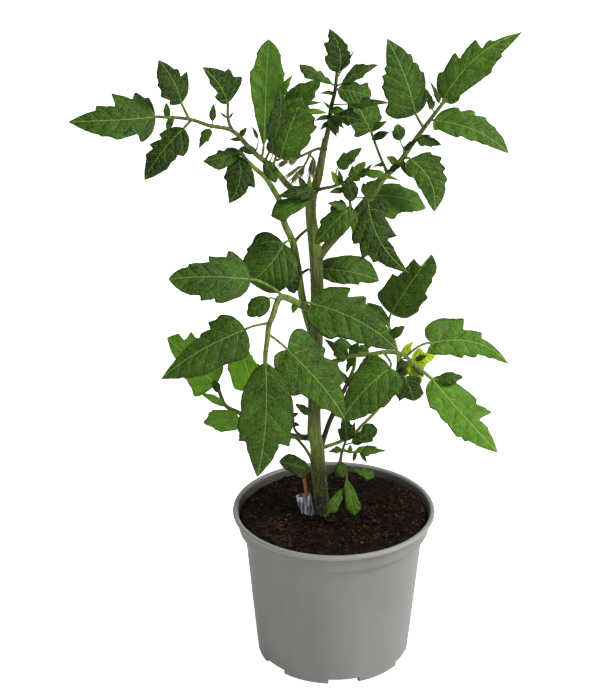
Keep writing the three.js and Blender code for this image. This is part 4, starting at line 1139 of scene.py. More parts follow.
def add_blade(mesh, blade, margin, tint, sizes):
    """One closed leaflet blade with its own rows for teeth and side veins."""
    width, length = blade.width, blade.length
    left, right = MARGINS[margin]
    rows = int(within(8, length * ROW_DENSITY, 64))
    columns = 2 * int(within(2, width * COLUMN_DENSITY, 9))
    blur = min(TOOTH_ROUNDING / length, 0.04)
    shares = row_shares(left + right, rows, blur, length)
    lines = grid_of(mesh, len(shares) - 1, columns)
    turns = side_veins(width)
    gap = length / turns
    rib = within(0.06, width * MIDRIB_SHARE, 0.34)
    layers = [mesh.verts.layers.float[name] for name in LEAF_VALUES]
    shoulder, point = blade.look.get("shoulder", 1), blade.look.get("point", 1.35)
    quilt_height = sizes.quilt * width
    for share, line in zip(shares, lines):
        for j, vert in enumerate(line):
            part = 2 * j / columns - 1
            teeth = left if part < 0 else right
            sideways = part * rounded_half(teeth, share, shoulder, point, blur) * width / 2
            wander = noise.noise(Vector((share * length / WANDER_LENGTH, part, width)))
            fine = SERRATION * (0.5 + wander) * (serration(share * length) - 0.5) / (width / 2 + 6)
            sideways *= 1 + MARGIN_WANDER * wander + fine
            order = share * turns - abs(sideways) * VEIN_LEAN / gap
            phase = order + (0.5 if part > 0 else 0)
            between = 0.5 + 0.5 * math.cos(2 * math.pi * phase)
            swell = between * math.sin(math.pi * min(abs(part), 1)) ** 0.6
            vert.co = blade.place(share, sideways, quilt_height * swell, sizes.waves)
            values = (share * length, sideways, order, gap, rib, tint, abs(part))
            for layer, value in zip(layers, values):
                vert[layer] = value
    thicken_blade(mesh, [vert for line in lines for vert in line], blade.out, sizes.thickness / TO_METRES)


def thicken_blade(mesh, verts, out, thickness):
    """Gives a sheet its wall, and its lower face the slot of the underside."""
    faces = list(faces_at(verts))
    bmesh.ops.remove_doubles(mesh, verts=verts, dist=WELD)
    faces = [face for face in faces if face.is_valid and face.calc_area() > 1e-8]
    turn_outward(faces, out)
    made = bmesh.ops.solidify(mesh, geom=faces, thickness=thickness)["geom"]
    shell = {face for face in made if isinstance(face, bmesh.types.BMFace)} | set(faces)
    for face in shell:
        face.normal_update()
        face.smooth = True
        face.material_index = UNDER if face.normal.dot(out) < -0.2 else UPPER


def stalk_line(foot, along, line, gap, share):
    """The bent line from a limb to a leaflet's foot."""
    start = line.at(max(share - ROOT_FOLLOW * gap / line.length, 0))
    bend = foot - along * STALK_LEAD * gap
    steps = 8
    shares = [i / steps for i in range(steps)]
    return [start * (1 - t) ** 2 + bend * 2 * t * (1 - t) + foot * t**2 for t in shares]


def nearest_limb(foot, lines):
    """((gap, share), line) of the limb that passes nearest to foot."""
    return min(((line.nearest(foot), line) for line in lines), key=lambda found: found[0])


def add_leaflet(mesh, row, lines, sizes):
    """A leaflet: its blade, and its stalk that runs on as the midrib. A row may leave out its look."""
    margin, base, tip, width, look = (*row, {})[:5]
    tint = look.get("tint", LEAF_TINT)
    foot = Vector(base)
    (gap, share), line = nearest_limb(foot, lines)
    along = (Vector(tip) - foot).normalized()
    stalk = []
    if margin == "tiny" and gap < SESSILE_REACH:
        foot = line.at(share)
    elif gap >= SEATED_GAP:
        stalk = stalk_line(foot, along, line, gap, share)
    if not stalk:
        foot = foot - along * ROOT_SINK
    blade = Blade(foot, tip, width, look)
    add_blade(mesh, blade, margin, tint, sizes)
    thick = min(sizes.stalk / TO_METRES, RIB_LEAST + width * RIB_GROWTH)
    if stalk:
        path = Line([*stalk, foot + blade.along])
        girths = [max(thick, 0.8) * 1.2, max(thick, 0.7), thick]
        steps = max(4, int(path.length / 1.5))
        tube(mesh, path, girths, sides=8, steps=steps, slot=STALK, tones=[line.tone] * 2)
    below = blade.out * thick * RIB_DEPTH
    shares = [RIB_REACH * i / (RIB_POINTS - 1) for i in range(RIB_POINTS)]
    rib = Line([blade.place(share, 0) - below * (1 - RIB_FADE * share) for share in shares])
    girths = [thick * part for part in RIB_GIRTHS]
    steps = max(8, int(blade.length / 2.5))
    tube(mesh, rib, girths, sides=6, steps=steps, slot=RIB, tones=[tint] * 2)


def new_mesh():
    """An empty mesh that holds a leaflet's values."""
    mesh = bmesh.new()
    for name in LEAF_VALUES:
        mesh.verts.layers.float.new(name)
    return mesh


class Heap:
    """Joins many small shapes to a mesh a few at a time, because bmesh slows down as it fills."""

    def __init__(self, mesh, size=1):
        self.mesh, self.size, self.count = mesh, size, 0
        self.part = new_mesh()

    def room(self):
        """The small mesh that takes the next shape."""
        if self.count == self.size:
            self.empty()
        self.count += 1
        return self.part

    def empty(self):
        """Joins the small mesh to the whole one and starts it again."""
        data = bpy.data.meshes.new("heap")
        self.part.to_mesh(data)
        self.part.free()
        self.mesh.from_mesh(data)
        bpy.data.meshes.remove(data)
        self.part, self.count = new_mesh(), 0

    def close(self):
        """Joins what is left."""
        self.empty()
        self.part.free()


def add_object(name, data):
    """A new object in the scene."""
    made = bpy.data.objects.new(name, data)
    bpy.context.scene.collection.objects.link(made)
    return made


def mesh_object(mesh, name, scale=TO_METRES):
    """An object of the mesh, scaled to metres."""
    bmesh.ops.transform(mesh, matrix=Matrix.Scale(scale, 4), verts=mesh.verts)
    data = bpy.data.meshes.new(name)
    mesh.to_mesh(data)
    mesh.free()
    return add_object(name, data)


def finish_piece(mesh, name, materials, replaced=()):
    """Makes the object, rides it on the plant and hides the solids it replaces."""
    piece = mesh_object(mesh, name)
    for material in materials:
        piece.data.materials.append(material)
    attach(piece, BODY)
    if replaced:
        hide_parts(*replaced)
    return piece


def add_hairs(mesh, line, girths, spacing, reach, rng, slot, start=0.0, end=1.0):
    """Fine tapering hairs that stand out from a limb."""
    area = line.length * math.pi * sum(girths) / len(girths)
    heap = Heap(mesh, HEAP_SIZE)
    for _ in range(int(area * (end - start) / spacing**2)):
        share = start + (end - start) * rng.random()
        heading, side = random_side(line, share, rng)
        root = line.at(share) + side * (girth_at(girths, share) / 2 - HAIR_RADIUS)
        slant = heading * rng.uniform(-HAIR_LEAN, HAIR_LEAN)
        lean = (side + slant + Vector((0, 0, -HAIR_DROOP))).normalized()
        length = reach * rng.uniform(0.45, 1.1)
        turn = Vector((0, 0, 1)).rotation_difference(lean).to_matrix().to_4x4()
        matrix = Matrix.Translation(root + lean * length / 2) @ turn
        made = add_rod(heap.room(), 3, HAIR_RADIUS, HAIR_TIP_RADIUS, length, matrix)
        for face in faces_at(made):
            face.material_index = slot
    heap.close()


def random_side(line, share, rng):
    """The heading of a limb there, and a direction straight out of it at a random angle."""
    heading = line.heading(share)
    side = heading.orthogonal().normalized()
    side.rotate(Matrix.Rotation(rng.uniform(0, 2 * math.pi), 3, heading))
    return heading, side


def add_rod(mesh, sides, radius, tip_radius, length, matrix):
    """The vertices of a closed straight rod."""
    return bmesh.ops.create_cone(
        mesh, segments=sides, radius1=radius, radius2=tip_radius, depth=length, matrix=matrix, cap_ends=True
    )["verts"]


# Materials


class Nodes:
    """Short calls that add shader nodes and give back their outputs."""

    def __init__(self, tree):
        self.tree = tree

    def add(self, kind, values=(), output=0, **options):
        """Adds a node with its values and gives back one of its outputs."""
        made = self.tree.nodes.new(kind)
        for name, value in options.items():
            setattr(made, name, value)
        for socket, value in dict(values).items():
            self.feed(made.inputs[socket], value)
        return made.outputs[output]

    def feed(self, socket, value):
        """Links an output to a socket, or sets a plain value on it."""
        if isinstance(value, bpy.types.NodeSocket):
            self.tree.links.new(value, socket)
        elif socket.type == "RGBA":
            socket.default_value = (*value, 1)
        else:
            socket.default_value = value

    def math(self, operation, first, second=0.0, clamp=False):
        values = {0: first, 1: second}
        return self.add("ShaderNodeMath", values, operation=operation, use_clamp=clamp)

    def sum(self, first, *others, clamp=False):
        """The sum of the values, clamped to 0 and 1 at its last step if that is asked."""
        for k, other in enumerate(others):
            first = self.math("ADD", first, other, clamp and k == len(others) - 1)
        return first

    def times(self, first, second):
        return self.math("MULTIPLY", first, second)

    def shaded(self, colour, shade):
        """A colour made darker or lighter by a value."""
        grey = self.add("ShaderNodeCombineColor", {0: shade, 1: shade, 2: shade})
        return self.mix(1.0, colour, grey, "MULTIPLY")

    def step(self, value, low, high, start=0.0, end=1.0):
        """A soft step from start at low to end at high."""
        values = {0: value, 1: low, 2: high, 3: start, 4: end}
        return self.add("ShaderNodeMapRange", values, interpolation_type="SMOOTHSTEP")

    def mix(self, amount, first, second, blend="MIX"):
        values = {0: amount, 6: first, 7: second}
        return self.add("ShaderNodeMix", values, output=2, data_type="RGBA", blend_type=blend)

    def attribute(self, name):
        return self.add("ShaderNodeAttribute", output=2, attribute_name=name)

    def place(self, scale=(1, 1, 1)):
        """Object coordinates, stretched by a scale."""
        spot = self.add("ShaderNodeTexCoord", output=3)
        return self.add("ShaderNodeMapping", {0: spot, 3: scale})

    def noise(self, vector, scale, detail=3.0, rough=0.5):
        values = {"Vector": vector, "Scale": scale, "Detail": detail, "Roughness": rough}
        return self.add("ShaderNodeTexNoise", values)

    def cells(self, vector, scale, feature="F1", output=0):
        values = {"Vector": vector, "Scale": scale}
        return self.add("ShaderNodeTexVoronoi", values, output=output, feature=feature)

    def group(self, tree, values):
        made = self.tree.nodes.new("ShaderNodeGroup")
        made.node_tree = tree
        for socket, value in values.items():
            self.feed(made.inputs[socket], value)
        return made.outputs


def new_group(name, inputs, outputs):
    """A node group: its tree, its calls, what it takes and what it puts out."""
    tree = bpy.data.node_groups.new(name, "ShaderNodeTree")
    for label, value in inputs:
        socket = tree.interface.new_socket(label, in_out="INPUT", socket_type="NodeSocketFloat")
        socket.default_value = value
    for label in outputs:
        tree.interface.new_socket(label, in_out="OUTPUT", socket_type="NodeSocketFloat")
    begin = tree.nodes.new("NodeGroupInput")
    end = tree.nodes.new("NodeGroupOutput")
    return tree, Nodes(tree), begin.outputs, end.inputs


def group_named(name, make):
    """The node group of that name, which is made once."""
    return bpy.data.node_groups.get(name) or make(name)


def leaf_veins(name):
    """Masks of a leaflet's veins and of the fine net between them, and how its tissue swells."""
    tree, n, inputs, outputs = new_group(name, [("Side vein width", 0.7)], ["Veins", "Net", "Swell"])
    forward, sideways, turns, gap, rib = (
        n.attribute(label) for label in ("forward", "sideways", "turns", "gap", "rib")
    )
    spot = n.add("ShaderNodeCombineXYZ", {0: forward, 1: sideways})
    sway = n.times(n.math("SUBTRACT", n.noise(spot, 0.14, 2), 0.5), 0.5)
    half = n.times(n.math("GREATER_THAN", sideways, 0.0), 0.5)
    phase = n.math("FRACT", n.sum(turns, half, sway))
    off = n.math("ABSOLUTE", n.math("SUBTRACT", phase, 0.5))
    side = n.math("ABSOLUTE", sideways)
    taper = n.step(side, 0.0, 15.0, 1.0, 0.45)
    reach = n.times(n.times(rib, inputs["Side vein width"]), taper)
    branch = n.step(n.math("DIVIDE", n.times(off, gap), reach), 0.3, 1.3, 0.8, 0.0)
    middle = n.step(n.math("DIVIDE", side, rib), 0.4, 1.2, 1.0, 0.0)
    n.feed(outputs["Veins"], n.math("MAXIMUM", branch, middle))
    edge = n.cells(spot, 0.5, "DISTANCE_TO_EDGE")
    n.feed(outputs["Net"], n.step(edge, 0.0, 0.16, 1.0, 0.0))
    n.feed(outputs["Swell"], n.times(n.step(off, 0.0, 0.3), n.step(side, 0.0, 3.0)))
    return tree


def mottling(name):
    """Soft blotches and fine grain that vary a surface."""
    scales = [("Blotch scale", 60.0), ("Grain scale", 900.0)]
    tree, n, inputs, outputs = new_group(name, scales, ["Blotch", "Grain"])
    spot = n.place()
    n.feed(outputs["Blotch"], n.noise(spot, inputs["Blotch scale"], 3))
    n.feed(outputs["Grain"], n.noise(spot, inputs["Grain scale"], 2))
    return tree


def mottled(n, blotch_scale, grain_scale=900.0):
    """The blotch and grain masks at a material's own scales."""
    scales = {"Blotch scale": blotch_scale, "Grain scale": grain_scale}
    return n.group(group_named("Mottling", mottling), scales)


def new_material(name, roughness=0.5):
    """The material, its calls and its shader, or only the material where it is there already."""
    old = bpy.data.materials.get(name)
    if old:
        return old, None, None
    material = bpy.data.materials.new(name)
    material.use_nodes = True
    shader = material.node_tree.nodes["Principled BSDF"]
    shader.inputs["Roughness"].default_value = roughness
    return material, Nodes(material.node_tree), shader


def with_bump(n, shader, height, distance):
    """Relief from a height, at its depth in metres."""
    values = {"Strength": 1.0, "Distance": distance, "Height": height}
    n.feed(shader.inputs["Normal"], n.add("ShaderNodeBump", values))


def leaf_material(name, deep, fresh, lit, vein, vein_share, raised):
    """A leaf face: mottled green, pale veins in a faint net, and tissue that swells between them."""
    material, n, shader = new_material(name)
    if not n:
        return material
    veins, net, swell = n.group(group_named("Leaf veins", leaf_veins), {})
    blotch, grain = mottled(n, 60.0, 1100.0)
    patch = n.noise(n.place(), 260, 3, 0.6)
    # The tint paints each leaflet's shade at its deep end and the light through it above 1, along with its
    # own green
    tint = n.sum(n.attribute("tint"), n.times(n.math("SUBTRACT", blotch, 0.5), 0.7), clamp=True)
    base = n.mix(tint, deep, fresh)
    base = n.mix(n.step(n.attribute("tint"), 1.0, 2.0), base, lit)
    # Grain and patches vary the colour at random, and the swelling tissue between veins is painted a little
    # lighter, a painted highlight on the quilting
    base = n.shaded(base, n.sum(n.times(grain, 1.1), n.times(patch, 1.3), n.times(swell, 0.1), -0.25))
    base = n.mix(n.times(net, 0.16), base, vein)
    base = n.mix(n.times(veins, vein_share), base, n.mix(tint, vein, paler(vein, 1.7, 0.05)))
    base = n.mix(n.step(n.attribute("margin"), 0.9, 1.0, 0.0, 0.5), base, darker(deep, 0.35))
    n.feed(shader.inputs["Base Color"], base)
    n.feed(shader.inputs["Roughness"], n.step(grain, 0.3, 0.7, 0.4, 0.55))
    shader.inputs["Specular IOR Level"].default_value = 0.15
    lift = 0.2 if raised else -0.2
    relief = n.sum(n.times(veins, lift), n.times(swell, -lift), n.times(net, lift * 0.4))
    with_bump(n, shader, n.sum(relief, n.times(patch, 0.9)), 0.0014)
    return material


def rib_material(vein):
    """The raised midrib: pale green, streaked with darker green."""
    material, n, shader = new_material("midrib", 0.5)
    if n:
        streak = n.noise(n.place(), 500, 2)
        pale = n.mix(n.attribute("tint"), vein, paler(vein, 1.7, 0.05))
        n.feed(shader.inputs["Base Color"], n.mix(n.step(streak, 0.2, 0.6), darker(vein, 0.55), pale))
        with_bump(n, shader, streak, 0.0001)
    return material


def stem_material(name, green, bark):
    """Hairy stem, streaked along its length, from woody brown to green by the tone in its mesh, with pale
    fuzz and a painted sheen at its edges.
    """
    material, n, shader = new_material(name, 0.6)
    if not n:
        return material
    streak = n.noise(n.place((1, 1, 0.1)), 800, 3)
    blotch, grain = mottled(n, 70.0)
    band = n.noise(n.place((1, 1, 0.25)), 140, 2)
    vary = n.sum(n.times(blotch, 0.7), n.times(band, 0.9), -0.8)
    tone = n.sum(n.attribute("tint"), vary, clamp=True)
    pale = n.mix(tone, paler(bark, 3.5), paler(green, 1.6, 0.06))
    base = n.shaded(n.mix(tone, bark, green), n.step(streak, 0.32, 0.62, 0.5, 1.25))
    base = n.mix(n.step(grain, 0.56, 0.72, 0.0, 0.35), base, pale)
    # Pale hairs seen edge-on, and a painted sheen where the stem turns away from view
    edge = n.add("ShaderNodeLayerWeight", {0: 0.5}, output=1)
    fuzz_and_sheen = n.times(n.step(edge, 0.62, 0.95), n.step(grain, 0.4, 0.6, 0.15, 0.8))
    base = n.mix(fuzz_and_sheen, base, pale)
    n.feed(shader.inputs["Base Color"], base)
    n.feed(shader.inputs["Roughness"], n.step(streak, 0.3, 0.7, 0.45, 0.7))
    shader.inputs["Specular IOR Level"].default_value = 0.25
    with_bump(n, shader, n.sum(streak, grain), 0.0003)
    return material


def hair_material(name, tone):
    """Fine hairs, some darker than others."""
    material, n, shader = new_material(name, 0.5)
    if n:
        shade = n.noise(n.place(), 400, 1)
        n.feed(shader.inputs["Base Color"], n.mix(shade, tone, darker(tone, 0.6)))
    return material


def pot_material(name, grey, inner_shade_share):
    """Moulded plastic: a fine even grain and faint flow marks, a painted highlight along the rim, and
    painted shade, a little uneven, on the walls that hold the soil.
    """
    material, n, shader = new_material(name, 0.48)
    if not n:
        return material
    blotch, grain = mottled(n, 26.0, 1500.0)
    flow = n.noise(n.place((1, 1, 0.15)), 60, 3)
    tone = n.sum(n.times(blotch, 0.6), n.times(flow, 0.4))
    base = n.mix(n.step(tone, 0.35, 0.65), darker(grey, 0.93), paler(grey, 1.12))
    base = n.mix(n.step(grain, 0.62, 0.8, 0.0, 0.12), base, (0.5, 0.5, 0.48))
    height = n.add("ShaderNodeSeparateXYZ", {0: n.place()}, output=2)
    # A painted highlight along the top of the rim
    base = n.mix(n.step(height, *RIM_HIGHLIGHT, 0.0, 0.75), base, paler(grey, 1.7))
    # Painted shade on the inner walls that hold the soil, a little uneven
    wall_shade = n.step(blotch, 0.2, 0.7, inner_shade_share * 0.7, inner_shade_share)
    base = n.mix(wall_shade, base, srgb(52, 48, 46))
    n.feed(shader.inputs["Base Color"], base)
    n.feed(shader.inputs["Roughness"], n.step(blotch, 0.3, 0.7, 0.42, 0.56))
    with_bump(n, shader, grain, 0.00006)
    return material


def soil_material(name, peat, fibre, warmth):
    """Moist peat: near black, with warm grains."""
    material, n, shader = new_material(name, 0.9)
    if not n:
        return material
    spot = n.place()
    lumps = n.cells(spot, 900, output=1)
    value = n.add("ShaderNodeSeparateColor", {0: lumps}, output=0)
    patches = n.noise(spot, 60, 4, 0.6)
    grain = n.noise(spot, 1100, 4, 0.65)
    base = n.mix(n.step(grain, 0.35, 0.7), darker(peat, 0.35), peat)
    amount = n.times(n.step(value, 0.6, 0.98), n.step(patches, 0.42, 0.62, 0.15, 1.0))
    base = n.mix(n.times(amount, warmth), base, fibre)
    n.feed(shader.inputs["Base Color"], base)
    n.feed(shader.inputs["Roughness"], n.step(patches, 0.35, 0.7, 0.7, 0.95))
    shader.inputs["Specular IOR Level"].default_value = 0.1
    with_bump(n, shader, n.sum(grain, n.times(value, 0.5)), 0.0012)
    return material


def clip_material():
    """Cloudy clear soft plastic, streaked with painted highlights and painted dark reflections."""
    material, n, shader = new_material("clip_plastic", 0.22)
    if not n:
        return material
    cloud_and_glints = n.noise(n.place((1, 1, 0.12)), 620, 3)
    # Upright streaks of painted highlight and painted dark reflection; the same noise sets how cloudy and
    # how rough the plastic is
    base = n.mix(n.step(cloud_and_glints, 0.4, 0.6), srgb(92, 88, 100), srgb(232, 233, 242))
    n.feed(shader.inputs["Base Color"], base)
    n.feed(shader.inputs["Roughness"], n.step(cloud_and_glints, 0.3, 0.7, 0.15, 0.35))
    n.feed(shader.inputs["Alpha"], n.step(cloud_and_glints, 0.3, 0.7, 0.78, 0.95))
    shader.inputs["Coat Weight"].default_value = 0.4
    with_bump(n, shader, cloud_and_glints, 0.0001)
    return material


def stick_material():
    """Raw wood with its grain along the stick."""
    material, n, shader = new_material("stick_wood", 0.7)
    if not n:
        return material
    grain = n.noise(n.place((1, 1, 0.06)), 1600, 3)
    base = n.mix(n.step(grain, 0.3, 0.7), srgb(150, 84, 46), srgb(196, 128, 82))
    n.feed(shader.inputs["Base Color"], base)
    with_bump(n, shader, grain, 0.0001)
    return material


def plant_materials():
    """The leaf's upper face, its lower face, its stalk, its hairs and its midrib, in that order."""
    leaves, stems = settings().tomato_leaves, settings().tomato_stems
    upper = leaf_material("leaf_upper", leaves.deep, leaves.fresh, leaves.lit, leaves.vein, 0.68, False)
    under = leaf_material("leaf_under", leaves.under, leaves.fresh, leaves.lit, leaves.vein, 0.7, True)
    stalk = stem_material("stalk", stems.green, stems.bark)
    return [upper, under, stalk, hair_material("hairs", stems.hair_tone), rib_material(leaves.vein)]


def yellow_materials():
    """The same, with the blade of the old leaf that turns yellow."""
    yellow = settings().tomato_leaves.yellow
    pale = paler(yellow, 1.4)
    upper = leaf_material("leaf_yellow_upper", darker(yellow, 0.8), yellow, yellow, pale, 0.5, False)
    under = leaf_material("leaf_yellow_under", yellow, yellow, yellow, pale, 0.5, True)
    return [upper, under, *plant_materials()[STALK:]]


# Pieces


class PlantPiece:
    """What every operator here shares."""

    bl_options = {"REGISTER", "UNDO"}


def swollen_foot(length):
    """A shape for a limb of that length, which is thicker over its first 5 mm."""

    def shape(share, angle):
        return 1 + 0.35 * max(0.0, 1 - share * length / 5) ** 2

    return shape


def build_foliage(name, plan, materials):
    """One compound leaf or shoot, which replaces its solid."""
    sizes, stems = settings().tomato_leaves, settings().tomato_stems
    rng = random.Random(name)
    mesh = new_mesh()
    lines = [Line(smooth_points(limb["path"]), limb.get("tone", LIMB_TONE)) for limb in plan["limbs"]]
    for limb, line in zip(plan["limbs"], lines):
        sides = 12 if max(limb["girths"]) > 2 else 8
        steps = max(8, int(line.length / 2))
        shape = swollen_foot(line.length)
        tones = [line.tone] * 2
        tube(mesh, line, limb["girths"], sides, steps, slot=STALK, shape=shape, tones=tones)
    heap = Heap(mesh)
    for row in plan["leaflets"]:
        add_leaflet(heap.room(), row, lines, sizes)
    heap.close()
    for row in plan.get("buds", []):
        add_bud(mesh, row, lines, stems, rng)
    gap, reach = stems.hair_gap / TO_METRES, stems.hair / TO_METRES
    for limb, line in zip(plan["limbs"], lines):
        add_hairs(mesh, line, limb["girths"], gap, reach, rng, HAIR)
    finish_piece(mesh, name + "_foliage", materials, [name])


def five_ribs(share, angle):
    """The shape of a bud's body."""
    return 1 + 0.12 * math.cos(5 * angle)


def add_bud(mesh, row, lines, stems, rng):
    """A closed hairy flower bud on its stalk: a ribbed body between the long points of its calyx."""
    base, tip, width = row
    foot, end = Vector(base), Vector(tip)
    (gap, share), line = nearest_limb(foot, lines)
    along = (end - foot).normalized()
    stalk = Line(stalk_line(foot, along, line, gap, share) + [foot])
    tube(mesh, stalk, [0.9, 0.7, 0.8], sides=6, steps=8, slot=STALK)
    body = Line([foot - along * 0.3, foot.lerp(end, 0.5), end])
    girths = [width * part for part in (0.3, 0.7, 0.8, 0.6, 0.35, 0.15)]
    tube(mesh, body, girths, sides=20, steps=12, slot=STALK, shape=five_ribs, tones=BUD_TONES)
    side = along.orthogonal().normalized()
    for k in range(5):
        out = Matrix.Rotation(2 * math.pi * k / 5, 3, along) @ side
        spread = width * rng.uniform(0.3, 0.75)
        points = [foot + out * width * 0.2, foot.lerp(end, 0.55) + out * width * 0.48, end + out * spread]
        points.append(end + out * spread * 1.5 + along * rng.uniform(0.3, 1.4))
        tube(mesh, Line(points), [0.7, 0.75, 0.5, 0.2], sides=5, steps=6, slot=STALK)
    gap, reach = stems.hair_gap * 0.5 / TO_METRES, stems.hair / TO_METRES
    add_hairs(mesh, body, girths, gap, reach, rng, HAIR)


class TOMATO_OT_foliage(PlantPiece, bpy.types.Operator):
    """Builds the compound leaves and the leafy shoots"""

    bl_idname = "tomato.foliage"
    bl_label = "Leaves and shoots"

    def execute(self, context):
        for name, plan in PLANT.items():
            materials = yellow_materials() if name == "leaf_yellow" else plant_materials()
            build_foliage(name, plan, materials)
        return {"FINISHED"}


class TOMATO_OT_stem(PlantPiece, bpy.types.Operator):
    """Builds the main stem with its hairs and root bumps"""

    bl_idname = "tomato.stem"
    bl_label = "Main stem"

    def execute(self, context):
        stems = context.scene.tomato_stems
        rng = random.Random("stem")
        mesh = new_mesh()
        line, girths = Line(smooth_points(STEM["path"])), STEM["girths"]
        skin, hairs, foot_hairs = range(3)
        tube(mesh, line, girths, sides=28, steps=150, slot=skin, shape=ridged, tones=STEM_TONES)
        add_root_bumps(mesh, line, rng, hairs)
        gap, reach = stems.hair_gap * 0.8 / TO_METRES, stems.hair / TO_METRES
        add_hairs(mesh, line, girths, gap, reach, rng, hairs, SOIL_SHARE)
        add_hairs(mesh, line, girths, gap * 0.5, reach, rng, foot_hairs, SOIL_SHARE, FOOT_SHARE)
        materials = [
            stem_material("stem_skin", stems.green, stems.bark),
            hair_material("hairs", stems.hair_tone),
            hair_material("foot_hairs", stems.foot_tone),
        ]
        finish_piece(mesh, "hairy_stem", materials, ["main_stem"])
        return {"FINISHED"}


def ridged(share, angle):
    """The shape of the main stem: five low ridges that wind up it, and small lumps."""
    lump = noise.noise(Vector((math.cos(angle), math.sin(angle), share * 60)))
    return 1 + 0.035 * math.cos(5 * angle + 9 * share) + 0.05 * lump


def add_root_bumps(mesh, line, rng, slot):
    """Small pale bumps where roots would start, on the foot of the stem."""
    heap = Heap(mesh, HEAP_SIZE)
    for _ in range(ROOT_BUMPS):
        share = 0.1 + 0.2 * rng.random() ** 1.5
        side = random_side(line, share, rng)[1]
        spot = line.at(share) + side * (girth_at(STEM["girths"], share) / 2)
        size = Vector((rng.uniform(0.2, 0.45), rng.uniform(0.2, 0.45), rng.uniform(0.3, 0.8)))
        made = add_lump(heap.room(), Matrix.LocRotScale(spot, None, size))
        for face in faces_at(made):
            face.material_index = slot
            face.smooth = True
    heap.close()


def add_lump(mesh, matrix):
    """The vertices of a small faceted ball."""
    return bmesh.ops.create_icosphere(mesh, subdivisions=1, radius=1, matrix=matrix)["verts"]


def spin_profile(mesh, profile, steps):
    """Turns (radius, height) points that start and end on the axis into a smooth body about Z."""
    verts = [mesh.verts.new((radius, 0, height)) for radius, height in profile]
    edges = [mesh.edges.new(pair) for pair in zip(verts, verts[1:])]
    turn = {"cent": (0, 0, 0), "axis": (0, 0, 1), "angle": 2 * math.pi}
    bmesh.ops.spin(mesh, geom=verts + edges, steps=steps, use_merge=True, **turn)
    bmesh.ops.remove_doubles(mesh, verts=mesh.verts, dist=WELD)
    bmesh.ops.recalc_face_normals(mesh, faces=mesh.faces)


def round_rings(mesh, offset):
    """Rounds the sharp level edges of a spun body, apart from those near its axis."""
    sharp = [
        edge
        for edge in mesh.edges
        if edge.is_manifold
        and edge.calc_face_angle(0) > SHARP_ANGLE
        and abs(edge.verts[0].co.z - edge.verts[1].co.z) < 1e-3
        and edge.verts[0].co.xy.length > ROUNDED_FROM
    ]
    bmesh.ops.bevel(
        mesh,
        geom=sharp,
        offset=offset,
        segments=3,
        profile=0.5,
        affect="EDGES",
        material=-1,
        clamp_overlap=True,
    )


def pot_profile(rim, height, wall):
    """(radius, height) points of the pot, from the middle of its underside round to its inside."""
    collar, body_top, foot = rim - COLLAR_INSET, rim - BODY_INSET, rim - FOOT_INSET
    collar_foot = height - COLLAR_DROP
    taper = body_top - foot
    underside = [
        (0, 0), (DISC_RADIUS, 0), (DISC_RADIUS + 1, CHANNEL_HEIGHT),
        (CHANNEL_RADIUS - 1, CHANNEL_HEIGHT), (CHANNEL_RADIUS, 0),
    ]
    outside = [
        (foot - FOOT_ROUND, 0), (foot, FOOT_ROUND), (foot + taper * 0.06, 5.6), (foot + taper * 0.16, 13),
        (body_top, collar_foot), (collar, collar_foot + SHOULDER), (collar + 0.5, height - 3.3),
    ]
    lip = [
        (rim - 0.5, height - 2.8), (rim, height - 1.4), (rim - 0.6, height), (rim - 2.4, height),
        (rim - 3.1, height - 1.2),
    ]
    inside = [
        (collar - wall, collar_foot + 1.6), (body_top - wall, collar_foot - 1), (foot - wall, CHANNEL_TOP),
        (DISC_RADIUS - 1, CHANNEL_TOP), (DISC_RADIUS - 2, FLOOR_TOP), (0, FLOOR_TOP),
    ]
    return underside + outside + lip + inside


class TOMATO_OT_pot(PlantPiece, bpy.types.Operator):
    """Builds the nursery pot with its rolled rim, collar and notched foot"""

    bl_idname = "tomato.pot"
    bl_label = "Pot"

    def execute(self, context):
        pot = context.scene.tomato_pot
        rim, height = pot.rim / TO_METRES / 2, pot.height / TO_METRES
        mesh = new_mesh()
        spin_profile(mesh, pot_profile(rim, height, pot.wall / TO_METRES), POT_STEPS)
        round_rings(mesh, EDGE_ROUND)
        # The inner walls that hold the soil get the material with painted shade
        plain, shaded_wall = range(2)
        for face in mesh.faces:
            face.smooth = True
            middle = face.calc_center_median()
            outward = face.normal.x * middle.x + face.normal.y * middle.y
            inner = outward < -0.3 * middle.xy.length and middle.z < height - 1.2
            face.material_index = shaded_wall if inner else plain
        materials = [pot_material("pot_plastic", pot.grey, 0.0), pot_material("pot_painted_shade", pot.grey, 0.85)]
        piece = finish_piece(mesh, "nursery_pot", materials, ["pot"])
        cut_notches(piece, rim - FOOT_INSET)
        return {"FINISHED"}


